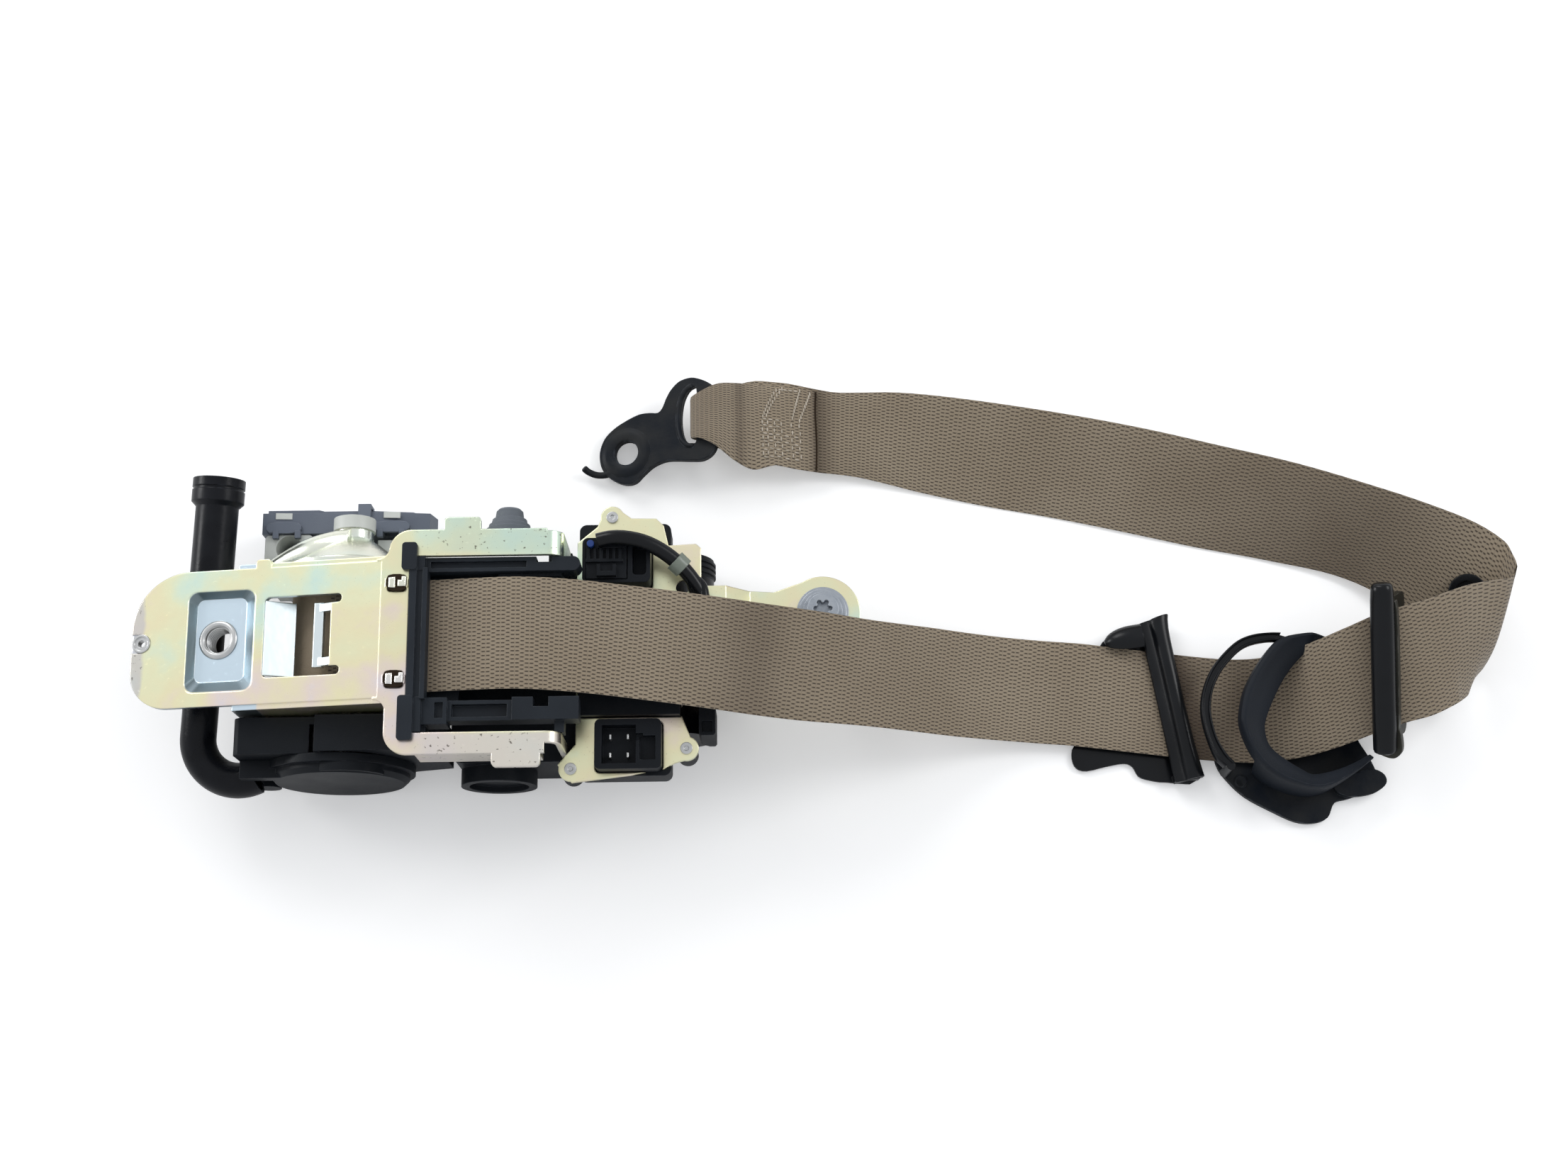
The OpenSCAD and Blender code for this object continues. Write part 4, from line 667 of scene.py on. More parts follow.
class Forge:
    """Shaping steps that several pieces share, in millimetres."""

    @staticmethod
    def blend(a: object, b: object, c: object, d: object, t: float) -> object:
        """A value on the smooth line from b to c.

        Args:
            a: The value before b.
            b: Where the stretch starts.
            c: Where it ends.
            d: The value after c.
            t: Share of the way from b to c.

        Returns:
            The value there.
        """
        return 0.5 * (2 * b + (c - a) * t + (2 * a - 5 * b + 4 * c - d) * t * t
                      + (3 * b - a - 3 * c + d) * t ** 3)

    @classmethod
    def curve_through(cls, points: tuple, steps: int = 4, closed: bool = True) -> list[Vector]:
        """Points of a smooth line through given points.

        Args:
            points: The given points, flat or in space.
            steps: How many points come out for each one.
            closed: Whether the line closes on itself.

        Returns:
            The points of the line.
        """
        knots = [Vector(p) for p in points]
        n = len(knots)
        line = []
        for i in range(n if closed else n - 1):
            near = [knots[j % n] if closed else knots[max(0, min(j, n - 1))] for j in range(i - 1, i + 3)]
            line += [cls.blend(*near, step / steps) for step in range(steps)]
        return line if closed else line + [knots[-1]]

    @staticmethod
    def circle(x: float, y: float, radius: float) -> list[Vector]:
        """Points of a round hole.

        Args:
            x: Its middle along x.
            y: Its middle along y.
            radius: Its radius.

        Returns:
            The points, 10 degrees apart.
        """
        turns = [math.radians(a) for a in range(0, 360, 10)]
        return [Vector((x + radius * math.cos(a), y + radius * math.sin(a))) for a in turns]

    @staticmethod
    def rectangle(x0: float, y0: float, x1: float, y1: float) -> Outline:
        """Corners of a rectangle between two opposite ones."""
        return (x0, y0), (x1, y0), (x1, y1), (x0, y1)

    @staticmethod
    def loop(bm: BMesh, points: list[Vector]) -> list[bmesh.types.BMEdge]:
        """Adds a closed loop of edges through points."""
        verts = [bm.verts.new(p) for p in points]
        return [bm.edges.new(pair) for pair in zip(verts, verts[1:] + verts[:1])]

    @classmethod
    def loft(cls, bm: BMesh, rings: list[list[Vector]]) -> None:
        """Joins rings of points into one closed skin.

        Args:
            bm: The mesh.
            rings: Rings with the same number of points.
        """
        loops = [cls.loop(bm, ring) for ring in rings]
        for a, b in zip(loops, loops[1:]):
            bmesh.ops.bridge_loops(bm, edges=a + b)
        for end in (loops[0], loops[-1]):
            bmesh.ops.contextual_create(bm, geom=end)
        bmesh.ops.recalc_face_normals(bm, faces=bm.faces)

    @classmethod
    def slab(cls, bm: BMesh, outlines: list, low: float, high: float, place: Matrix = UNTURNED) -> None:
        """Adds a flat plate with holes.

        Args:
            bm: The mesh.
            outlines: Its outline and then its holes, as flat points.
            low: Height of its lower face.
            high: Height of its upper face.
            place: Where its plane lies.
        """
        edges = []
        for line in outlines:
            edges += cls.loop(bm, [place @ Vector((*p, low)) for p in line])
        made = bmesh.ops.triangle_fill(bm, edges=edges, use_beauty=True, use_dissolve=False)
        faces = [g for g in made["geom"] if isinstance(g, bmesh.types.BMFace)]
        grown = bmesh.ops.extrude_face_region(bm, geom=faces, use_keep_orig=True)
        top = [g for g in grown["geom"] if isinstance(g, bmesh.types.BMVert)]
        bmesh.ops.translate(bm, verts=top, vec=place.to_3x3() @ Vector((0, 0, high - low)))
        bmesh.ops.recalc_face_normals(bm, faces=bm.faces)

    @classmethod
    def pipe(cls, bm: BMesh, path: list[Vector], radii: list[float], sides: int = 14,
             flat: float = 1.0) -> None:
        """Adds a round bar along a path.

        Args:
            bm: The mesh.
            path: Its middle line.
            radii: Its radius at each point.
            sides: Sides of its section.
            flat: How much its section is pressed flat.
        """
        rings, up = [], Vector((0, 0, 1))
        for i, (point, radius) in enumerate(zip(path, radii)):
            along = (path[min(i + 1, len(path) - 1)] - path[max(i - 1, 0)]).normalized()
            side = along.cross(up).normalized() if abs(along.dot(up)) < 0.98 else Vector((0, 1, 0))
            rise = side.cross(along).normalized()
            rings.append([point + (side * math.cos(a) + rise * (math.sin(a) * flat)) * radius
                          for a in (2 * math.pi * j / sides for j in range(sides))])
        cls.loft(bm, rings)

    @staticmethod
    def lathe(bm: BMesh, profile: list[Span], place: Matrix, steps: int = 40) -> None:
        """Spins a closed profile of radius and height round the z axis of a place.

        Args:
            bm: The mesh.
            profile: Closed profile.
            place: The axis it is spun round.
            steps: Steps of the full turn.
        """
        verts = [bm.verts.new(place @ Vector((r, 0, h))) for r, h in profile]
        edges = [bm.edges.new(pair) for pair in zip(verts, verts[1:] + verts[:1])]
        axis = place.to_3x3() @ Vector((0, 0, 1))
        bmesh.ops.spin(bm, geom=verts + edges, cent=place.translation, axis=axis, angle=2 * math.pi,
                       steps=steps, use_merge=True)
        bmesh.ops.remove_doubles(bm, verts=bm.verts, dist=0.001)
        bmesh.ops.recalc_face_normals(bm, faces=bm.faces)

    @staticmethod
    def axes(x: Vector, y: Vector, z: Vector, middle: Vector) -> Matrix:
        """Makes a place from its axes and its middle."""
        return Matrix.Translation(middle) @ Matrix((x, y, z)).transposed().to_4x4()


def mesh_piece(name: str, bm: BMesh, finish: Finish, body: str,
               smooth: bool = True, unit: float = MM) -> Piece:
    """Makes a piece of a finished bmesh.

    Args:
        name: Name of the piece.
        bm: Its mesh, which is freed.
        finish: Its finish.
        body: The body that it rides on.
        smooth: Whether its gentle turns are shaded smooth.
        unit: Length of its unit in metres.

    Returns:
        The new object.
    """
    if unit != 1.0:
        bmesh.ops.scale(bm, vec=(unit, unit, unit), verts=bm.verts)
    mesh = bpy.data.meshes.new(name)
    bm.to_mesh(mesh)
    bm.free()
    if smooth:
        mesh.shade_smooth()
        mesh.set_sharp_from_angle(angle=math.radians(SMOOTH_BELOW))
    mesh.materials.append(finish.material())
    piece = bpy.data.objects.new(name, mesh)
    bpy.context.scene.collection.objects.link(piece)
    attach(piece, body)
    log.info("made %s: %d faces", name, len(mesh.polygons))
    return piece


@dataclass
class Webbing:
    """The belt webbing from the roll to its sewn end, with its stitches."""

    width: float = 47.0
    thickness: float = 1.2
    steps: int = 5
    columns: int = 12
    rub_mark_and_shadow_width: float = 9.0
    most_soil_and_shade: float = 0.85
    turn_over: Span = (28.2, 34)
    route: tuple[Station, ...] = (
        (46.5, -1.5, 3.4, -90, 0, 1), (68, -1.5, 5.4, -90, 0, 1), (90, -1.5, 8.0, -90, 0, 1),
        (106, -1.5, 10.4, -90, 0, 1), (125, -1.7, 12.4, -90, 0, 1), (144, -3, 12.4, -92, 0, 1),
        (162, -4.8, 11.2, -94, 1, 1), (182, -7, 9, -95, 1, 1), (202, -9.2, 5.6, -96, 2, 1),
        (220, -11, 1.2, -97, 3, 1), (238, -12.4, -4, -98, 4, 1), (256, -13, -11.5, -98, 4, 1),
        (274, -13, -22, -98, 4, 1), (291, -13.2, -33, -98, 3, 1), (308, -14, -43, -98, 3, 1),
        (325, -15, -51, -98, 2, 1), (342, -16, -55.5, -97, 1, 1), (360, -17.2, -57, -97, 0, 1),
        (377, -19.3, -57, -97, 0, 1), (394, -21.4, -57, -97, 0, 1), (411, -23.5, -57, -97, 0, 1),
        (426, -25, -56.4, -96, 0, 1), (440, -25.6, -53.4, -92, -3, 1), (454, -24, -47, -86, -9, 1),
        (466, -21.2, -38.5, -79, -16, 1), (477, -17.8, -30.5, -73, -21, 1),
        (488, -14.2, -25.4, -71, -23, 1), (500, -10.4, -24.2, -71, -24, 1),
        (512, -6.2, -26.5, -73, -26, 1), (525, -0.6, -29.9, -87, -24, 1.03),
        (535.4, 3.1, -33.6, -107, -18, 1.1), (539.7, 5.5, -36.4, -107, -18, 1.1),
        (541.7, 9.2, -40.7, -107, -18, 1.1), (540.6, 13.6, -44.4, -107, -18, 1.1),
        (537.9, 18.1, -45.7, -107, -18, 1.1), (525, 29.6, -44.9, -112, -26, 1.05),
        (505, 42.4, -42.4, -117, -38, 1), (482, 52.4, -43, -109, -46, 1), (452, 63, -46.2, -106, -39, 1),
        (420, 71.4, -49, -104, -32, 1), (389, 79.2, -50, -102, -29, 1), (358, 86.2, -50, -100, -30, 1),
        (327, 92.4, -50, -98, -30, 1), (296, 98.6, -50.6, -95, -28, 0.97),
        (268, 103.8, -52, -93, -20, 0.9), (248, 106.6, -52.4, -90, -10, 0.84),
        (230, 108.6, -51, -88, 0, 0.84), (212, 110.6, -49.2, -90, 0, 0.62),
    )
    bar_loop: tuple[Station, ...] = (
        (204, 111.4, -48.7, -90, 0, 0.58), (197.5, 110.8, -48.2, -90, 0, 0.46),
        (193.4, 110.2, -44.5, -90, 0, 0.41), (197.5, 110.4, -40.8, -90, 0, 0.47),
        (204.5, 110.8, -40.6, -90, 0, 0.61), (212, 110.6, -44.6, -90, 0, 0.76),
        (220, 109.8, -48.2, -89, 0, 0.84), (230, 108.7, -49.5, -88, 0, 0.84),
        (249, 106.5, -50.9, -90, -10, 0.84),
    )
    # Soiling by station, mixed with painted shade: the darker bands where the webbing bends and the narrow
    # dark lines round the anchor loop
    soil_and_shade: Outline = (
        (0, 0.35), (3, 0.10), (6.5, 0.06), (7.8, 0.14), (9.1, 0.46), (9.9, 0.20), (11, 0.08), (15, 0.06),
        (17.6, 0.14), (20, 0.20), (22, 0.12), (25, 0.04), (28, 0.06), (31, 0.26), (33, 0.12), (35, 0.10),
        (37, 0.34), (39, 0.24), (41, 0.08), (44.4, 0.04), (44.9, 0.5), (45.2, 0.06), (46.6, 0.05),
        (47.2, 0.5), (47.6, 0.05), (51, 0.25), (52.9, 0.05), (53.3, 0.45), (53.8, 0.06), (55.7, 0.05),
        (56, 0.8),
    )
    reach: Route = (
        (0, 1, 1), (7, 1, 1), (10, 1.01, 1.03), (11.5, 0.97, 1.01), (12.5, 0.98, 0.995), (14, 1.02, 0.96),
        (15, 1.045, 0.92), (16, 1.05, 0.90), (20, 1.02, 0.91), (22, 1.03, 0.92), (25, 1.03, 0.98),
        (26, 1.05, 1.01), (27, 1.04, 1.05), (28, 1.03, 1.01), (28.5, 1.02, 0.97), (29, 1, 0.93),
        (29.5, 0.99, 0.86), (30, 0.98, 0.75), (30.5, 0.97, 0.66), (31, 0.97, 0.59), (31.5, 0.98, 0.55),
        (32, 1.0, 0.55), (32.5, 1.06, 0.63), (33, 1.1, 0.76), (33.5, 1.13, 0.9), (34, 1.15, 1),
        (35, 1.1, 1), (36, 1.02, 0.97), (37, 1.02, 0.96), (38, 1, 1), (40, 1.03, 0.98), (42, 1, 0.99),
        (43, 0.97, 0.96), (43.5, 0.945, 0.92), (44, 0.89, 0.90), (44.5, 0.87, 0.93), (45, 0.94, 0.97),
        (45.5, 1, 0.94), (46, 1.04, 0.95), (46.5, 1.14, 1.24), (47, 1.12, 1.14), (48, 1, 1), (51, 1, 1),
        (52, 0.97, 1.05), (53, 0.89, 1.13), (54, 0.88, 1.16), (54.6, 0.91, 1.07), (55, 0.93, 0.985),
        (55.4, 0.935, 1.0), (56, 0.86, 0.995),
    )
    # Dark marks beside the fittings: part rubbed stain, part painted contact shadow where the fittings press
    # on the webbing
    rub_marks_and_shadows: tuple[tuple[float, float, float, float], ...] = (
        (405.6, -16.4, -74.3, 0.75), (432.5, -24, -90, 0.35), (483, -10, -87, 0.30),
    )
    rub_marks_and_shadows_end: float = 30.0
    stitch_columns: tuple[float, ...] = (54.54, 54.76, 55.0, 55.18, 55.4, 55.56)
    stitch_rows: tuple[float, ...] = (-0.08, 0.08, 0.27, 0.44, 0.62, 0.80)
    stitch_lines: Route = ((54.58, 0.065, 0.0), (54.74, 0.062, 0.04), (55.56, 0.03, 0.0), (55.42, 0.02, 0.04))
    stitch_tail: tuple[float, ...] = (55.2, 55.3, 55.4, 55.5)
    line_stitches: int = 9
    stitch_size: tuple[float, float, float] = (1.2, 0.42, 0.36)
    # Station and number of points of the painted shadow line at the end of the fold
    fold_shadow_station: float = 55.97
    fold_shadow_points: int = 17

    @property
    def last(self) -> int:
        """Number of the last station."""
        return len(self.route) + len(self.bar_loop) - 1

    def station(self, k: float) -> tuple[Vector, Vector, float]:
        """Place of the webbing at a point of its route.

        Args:
            k: Station number, with a share of the way to the next.

        Returns:
            Middle of the webbing, direction to its second edge and half its width, in millimetres.
        """
        table = self.route + self.bar_loop
        i = min(int(k), self.last - 1)
        near = table[max(i - 1, 0)], table[i], table[i + 1], table[min(i + 2, self.last)]
        s = [Forge.blend(*values, k - i) for values in zip(*near)]
        az, el = math.radians(s[3]), math.radians(s[4])
        across = Vector((math.cos(az) * math.cos(el), math.sin(az) * math.cos(el), math.sin(el)))
        return Vector(s[:3]), across, self.width * s[5] / 2

    def frame_at(self, k: float) -> tuple[Vector, Vector, Vector, Vector, float]:
        """Axes of the webbing at a point of its route.

        Args:
            k: Station number, with a share.

        Returns:
            Middle, direction along, direction across, normal and half width, in millimetres.
        """
        middle, across, half = self.station(k)
        along = (self.station(min(k + 0.2, self.last))[0] - self.station(max(k - 0.2, 0))[0]).normalized()
        return middle, along, across, across.cross(along).normalized(), half

    @staticmethod
    def between(table: tuple[tuple, ...], k: float, column: int = 1) -> float:
        """Value of a table at a station, in a smooth line through its rows.

        Args:
            table: Rows that start with a station.
            k: The station.
            column: Which value of the rows.

        Returns:
            The value.
        """
        last = len(table) - 1
        for i, (a, b) in enumerate(zip(table, table[1:])):
            if a[0] <= k <= b[0]:
                before, after = table[max(i - 1, 0)], table[min(i + 2, last)]
                span = b[0] - a[0]
                t = (k - a[0]) / span
                lean_a = (b[column] - before[column]) / (b[0] - before[0]) * span
                lean_b = (after[column] - a[column]) / (after[0] - a[0]) * span
                return ((2 * t ** 3 - 3 * t * t + 1) * a[column] + (t ** 3 - 2 * t * t + t) * lean_a
                        + (3 * t * t - 2 * t ** 3) * b[column] + (t ** 3 - t * t) * lean_b)
        return table[-1][column]

    def soil_and_shade_at(self, k: float, point: Vector) -> float:
        """How soiled the webbing is, with painted shade added where it bends and beside the fittings.

        Args:
            k: Station.
            point: Place on the webbing in metres.

        Returns:
            The soiling and painted shade from 0 to 1, with the dark marks beside the fittings, part rubbed
            stain and part painted contact shadow.
        """
        mark = max(0.0, self.between(self.soil_and_shade, k))
        if k < self.rub_marks_and_shadows_end:
            for x, y, heading, depth in self.rub_marks_and_shadows:
                away = Vector((math.sin(math.radians(heading)), -math.cos(math.radians(heading))))
                gap = (point.x / MM - x) * away.x + (point.y / MM - y) * away.y
                mark += depth * math.exp(-((gap / self.rub_mark_and_shadow_width) ** 2))
        return min(mark, self.most_soil_and_shade)

    def spread(self, k: float, share: float) -> Span:
        """How far out a place across the webbing lies, with its edges drawn in or let out.

        Args:
            k: Station.
            share: Place across, from -1 to 1.

        Returns:
            The reach of that edge and the place across, both as shares of half the width.
        """
        far = self.between(self.reach, k, 2 if share > 0 else 1)
        return far, share * (1 + (far - 1) * abs(share))

    def ring(self, k: float) -> tuple[list[Vector], list[float]]:
        """Points round the webbing's section at a station. A drawn-in edge falls where it turns over.

        Args:
            k: Station number.

        Returns:
            The points in metres, and how far each lies across in metres.
        """
        middle, _, across, normal, half = self.frame_at(k)
        falls = self.turn_over[0] < k < self.turn_over[1]
        points, places = [], []
        for side in (1, -1):
            for j in range(self.columns + 1)[::side]:
                share = 2 * j / self.columns - 1
                rim = 1.0 if 0 < j < self.columns else 0.45
                ripple = 0.12 * math.sin(k * 2.1 + share * 2.4)
                lift = normal * (side * self.thickness / 2 * rim + ripple * abs(share) ** 3)
                far, out = self.spread(k, share)
                drop = half * 0.7 * math.sqrt(max(0.0, 1 - far * far)) * share * share if falls else 0.0
                points.append((middle + across * half * out + lift - Vector((0, 0, drop))) * MM)
                places.append((share + 1) / 2 * self.width * MM)
        return points, places

    @staticmethod
    def grow(bm: BMesh, edges: list, verts: list) -> tuple[list, list]:
        """Extrudes a ring of edges once.

        Args:
            bm: The mesh.
            edges: The ring's edges.
            verts: The ring's points in their order.

        Returns:
            The new ring's edges, and its points in the same order.
        """
        made = bmesh.ops.extrude_edge_only(bm, edges=edges)["geom"]
        fresh = {g for g in made if isinstance(g, bmesh.types.BMVert)}
        edges = [g for g in made if isinstance(g, bmesh.types.BMEdge) and fresh.issuperset(g.verts)]
        order = {v: n for n, v in enumerate(verts)}
        place = {v: order[e.other_vert(v)] for v in fresh for e in v.link_edges if e.other_vert(v) in order}
        return edges, sorted(fresh, key=place.get)

    def build_strap(self) -> None:
        """Builds the strap ring by ring, with its map and its soiling, which carries painted shade too."""
        bm = bmesh.new()
        uv = bm.loops.layers.uv.new("webbing")
        soil_and_shade = bm.verts.layers.float.new("soil_and_shade")
        edges = Forge.loop(bm, self.ring(0)[0])
        verts = list(bm.verts)
        bmesh.ops.contextual_create(bm, geom=edges)
        along, across = {}, {}
        run, before = 0.0, self.station(0)[0]
        count = self.last * self.steps
        for step in range(count + 1):
            k = self.last * step / count
            here = self.station(k)[0]
            run += (here - before).length * MM
            before = here
            if step:
                edges, verts = self.grow(bm, edges, verts)
            for v, point, place in zip(verts, *self.ring(k)):
                v.co = point
                across[v], along[v] = place, run
                # Each point keeps its soiling together with its painted shade
                v[soil_and_shade] = self.soil_and_shade_at(k, v.co)
        bmesh.ops.contextual_create(bm, geom=edges)
        bmesh.ops.recalc_face_normals(bm, faces=bm.faces)
        for face in bm.faces:
            for loop in face.loops:
                loop[uv].uv = (along[loop.vert], across[loop.vert])
        strap = mesh_piece("belt_webbing", bm, FINISHES.webbing, "frame", unit=1.0)
        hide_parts("web_lower_run", "web_rising_run", "web_turn", "web_upper_run", "web_anchor_loop")

    def place(self, station: float, turn: float, lean: float = 0.0) -> Matrix:
        """Place of a fitting on the webbing.

        Args:
            station: Where its middle lies.
            turn: Its turn about the webbing's normal, in degrees.
            lean: Its lean about its own length, in degrees.

        Returns:
            The place, in millimetres.
        """
        middle, along, _, normal, _ = self.frame_at(station)
        base = Forge.axes(along, normal.cross(along), normal, middle)
        tip = Matrix.Rotation(math.radians(lean), 4, "Y")
        return base @ Matrix.Rotation(math.radians(turn), 4, "Z") @ tip

    def on_top(self, k: float, share: float, lift: float) -> tuple[Vector, Vector, Vector, Vector]:
        """A point just above the webbing, with the directions there.

        Args:
            k: Station.
            share: Place across, from -1 to 1.
            lift: Height over the middle of the webbing.

        Returns:
            The point, and the directions along, across and up.
        """
        middle, along, across, normal, half = self.frame_at(k)
        if normal.z < 0:
            normal = -normal
        point = middle + across * half * self.spread(k, share)[1] + normal * lift
        return point, along, across, normal

    def stitch(self, bm: BMesh, k: float, share: float, crosswise: bool) -> None:
        """Adds one stitch to a mesh.

        Args:
            bm: The mesh.
            k: Station of its middle.
            share: Its place across, from -1 to 1.
            crosswise: Whether it runs across the webbing.
        """
        point, along, across, normal = self.on_top(k, share, 0.72)
        x, y = (across, along) if crosswise else (along, across)
        ball = bmesh.ops.create_uvsphere(bm, u_segments=6, v_segments=5, radius=1.0)["verts"]
        bmesh.ops.scale(bm, vec=self.stitch_size, verts=ball)
        bmesh.ops.transform(bm, matrix=Forge.axes(x, y, normal, point), verts=ball)

    def build_stitches(self) -> None:
        """Sews the box of stitches over the anchor end, and the lines above it."""
        bm = bmesh.new()
        columns, rows = self.stitch_columns, self.stitch_rows
        for i, share in enumerate(rows):
            for j, (a, b) in enumerate(zip(columns, columns[1:])):
                if i > 1 or j < 3:
                    self.stitch(bm, (a + b) / 2, share + 0.012 * math.sin(5 * i + 3 * j), False)
        for j, k in enumerate(columns):
            for i, (a, b) in enumerate(zip(rows, rows[1:])):
                self.stitch(bm, k + 0.012 * math.sin(4 * i + j), (a + b) / 2, True)
        for i in range(self.line_stitches):
            for k, pace, shift in self.stitch_lines:
                self.stitch(bm, k + pace * i, -0.13 - 0.09 * i - shift, True)
        for k in self.stitch_tail:
            self.stitch(bm, k, -0.87, False)
        mesh_piece("anchor_stitches", bm, FINISHES.thread, "frame")

    def build_fold_shadow(self) -> None:
        """Lays a dark line as painted shadow where the end of the sewn fold lies on the webbing."""
        bm = bmesh.new()
        shares = [0.96 - 0.12 * i for i in range(self.fold_shadow_points)]
        # The painted shadow runs across the webbing along the end of the fold
        seam = [self.on_top(self.fold_shadow_station + 0.02 * math.sin(4 * t), t, 0.5)[0] for t in shares]
        Forge.pipe(bm, seam, [0.42] * len(seam), 8, 0.8)
        mesh_piece("fold_end_shadow", bm, FINISHES.shade, "frame")

    def build(self) -> None:
        """Builds the strap, what is sewn into it, and the painted shadow at the end of its fold."""
        self.build_strap()
        self.build_stitches()
        self.build_fold_shadow()


@dataclass
class BeltGuide:
    """Pressed guide: a glossy front bar, a back plate with two leaves and a curled leaf."""

    station: float = 19.4
    turn: float = 15.7
    bar: tuple[tuple[float, float, float, float], ...] = (
        (-32.6, -4.9, 7.0, 0.05), (-32.2, -5.4, 7.4, 0.03), (-28, -5.7, 7.0, 0.0), (-18, -5.8, 6.3, 0.0),
        (0, -5.9, 5.7, 0.0), (20, -6.2, 5.5, 0.0), (30, -6.4, 5.5, 0.02), (34, -6.6, 5.7, 0.06),
        (37, -6.9, 6.2, 0.12), (38.4, -6.8, 6.7, 0.16), (38.9, -6.4, 6.6, 0.17),
    )
    back: Outline = (
        (5.6, -32), (5.8, -10), (5.8, 15), (5.6, 35), (-4, 37), (-18, 36), (-24.5, 33), (-26, 22),
        (-26, 5), (-28, -5), (-38, -7.5), (-44.5, -9), (-46.4, -14), (-45.4, -18.6), (-41, -20.6),
        (-32, -20), (-24.5, -20), (-21.2, -22), (-19.5, -26.5), (-15, -29), (-8, -31),
    )
    back_heights: Span = (-4.8, -3.2)
    posts: tuple[Span, ...] = ((-32.4, -29.2), (33.2, 36.4))
    post_width: Span = (-5.2, 5.6)
    post_heights: Span = (-3.4, 2.2)
    curl_start: float = -23.0
    curl_length: float = 16.4
    curl_middle: Span = (32.6, 1.4)
    curl_radius: float = 6.4
    curl_turns: tuple[int, int, int] = (-90, 141, 23)
    curl_steps: int = 10
    tip_start: float = -10.5
    tip_length: float = 12.8
    steel: float = 1.5

    def section(self, row: tuple[float, float, float, float]) -> list[Vector]:
        """Section of the front bar.

        Args:
            row: Place along the bar, left and right edge, and the slant of its end.

        Returns:
            The points of the section.
        """
        y, left, right, slant = row
        split = left + 4.7
        middle, reach = (split + right) / 2, (right - split) / 2
        flat = [(left, 0.9), (left, 2.2), (left + 0.6, 2.8), (split - 0.9, 2.9), (split - 0.2, 2.7)]
        bead = [(middle - reach * math.cos(math.radians(a)), 2.4 + 2.9 * math.sin(math.radians(a)))
                for a in range(12, 181, 12)]
        tail = [(right, -0.6), (right - 1.4, -0.6), (right - 1.6, 0.9)]
        return [Vector((x, y + slant * (x - left), z)) for x, z in flat + bead + tail]

    def build(self, webbing: Webbing) -> None:
        """Builds the guide.

        Args:
            webbing: The webbing it sits on.
        """
        place = webbing.place(self.station, self.turn)
        bm = bmesh.new()
        Forge.loft(bm, [[place @ p for p in self.section(row)] for row in self.bar])
        Forge.slab(bm, [Forge.curve_through(self.back, 3)], *self.back_heights, place)
        for low, high in self.posts:
            foot = Forge.rectangle(self.post_width[0], low, self.post_width[1], high)
            Forge.slab(bm, [foot], *self.post_heights, place)
        rings, (across, up) = [], self.curl_middle
        angles = [math.radians(a) for a in range(*self.curl_turns)]
        for step in range(self.curl_steps + 1):
            x = self.curl_start + self.curl_length * step / self.curl_steps
            past = max(0.0, (self.tip_start - x) / self.tip_length)
            radius = self.curl_radius * math.sqrt(max(0.06, 1 - past ** 2))
            outer, inner = ([(across + r * math.cos(a), up + r * math.sin(a)) for a in turns]
                            for r, turns in ((radius, angles), (radius - self.steel, angles[::-1])))
            rings.append([place @ Vector((x, y, z)) for y, z in outer + inner])
        Forge.loft(bm, rings)
        guide = mesh_piece("belt_guide_steel", bm, FINISHES.gloss_black, "guide")
        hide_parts("belt_guide")


@dataclass
class TongueGrip:
    """Moulded bar of the buckle tongue with its shoulder round the blade."""

    station: float = 26.0
    turn: float = -19.0
    lean: float = -25.0
    low_end: float = -34.0
    top_end: float = 39.2
    half_width: float = 5.0
    middle_height: float = 8.2
    half_height: float = 4.7
    squareness: float = 0.85
    sides: int = 28
    shoulder_heights: Span = (3.6, 6.4)
    strip_heights: Span = (3.8, 6.8)
    strip: Outline = ((4.6, -22), (5.7, -20), (5.9, 10), (5.6, 28), (4.4, 29), (4.4, 0))
    shoulder: Outline = (
        (3.2, -20), (5.6, -24), (6.6, -29), (6.3, -33.5), (3.6, -36.3), (-0.5, -36), (-3.2, -33.6),
        (-3, -24),
    )

    def build(self, webbing: Webbing) -> None:
        """Builds the grip.

        Args:
            webbing: The webbing it slides on.
        """
        place = webbing.place(self.station, self.turn, self.lean)
        low, top = self.low_end, self.top_end
        rows = [(low, 0.62), (low + 0.7, 0.86), (low + 2, 0.97), (-20, 1.0), (0, 1.0), (20, 1.0), (32, 0.97),
                (top - 3.2, 0.93), (top - 1, 0.84), (top - 0.3, 0.7), (top, 0.5)]
        rings = []
        for y, scale in rows:
            ring = []
            for j in range(self.sides):
                a = 2 * math.pi * j / self.sides
                c, d = (math.copysign(abs(v) ** self.squareness, v) for v in (math.cos(a), math.sin(a)))
                x, z = self.half_width * scale * c, self.middle_height + self.half_height * scale * d
                ring.append(place @ Vector((x, y, z)))
            rings.append(ring)
        bm = bmesh.new()
        Forge.loft(bm, rings)
        grip = mesh_piece("tongue_grip_bar", bm, FINISHES.gloss_black, "tongue")
        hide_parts("tongue_grip")
        bm = bmesh.new()
        Forge.slab(bm, [Forge.curve_through(self.shoulder, 4)], *self.shoulder_heights, place)
        Forge.slab(bm, [Forge.curve_through(self.strip, 3)], *self.strip_heights, place)
        mesh_piece("tongue_shoulder", bm, FINISHES.olive, "tongue")


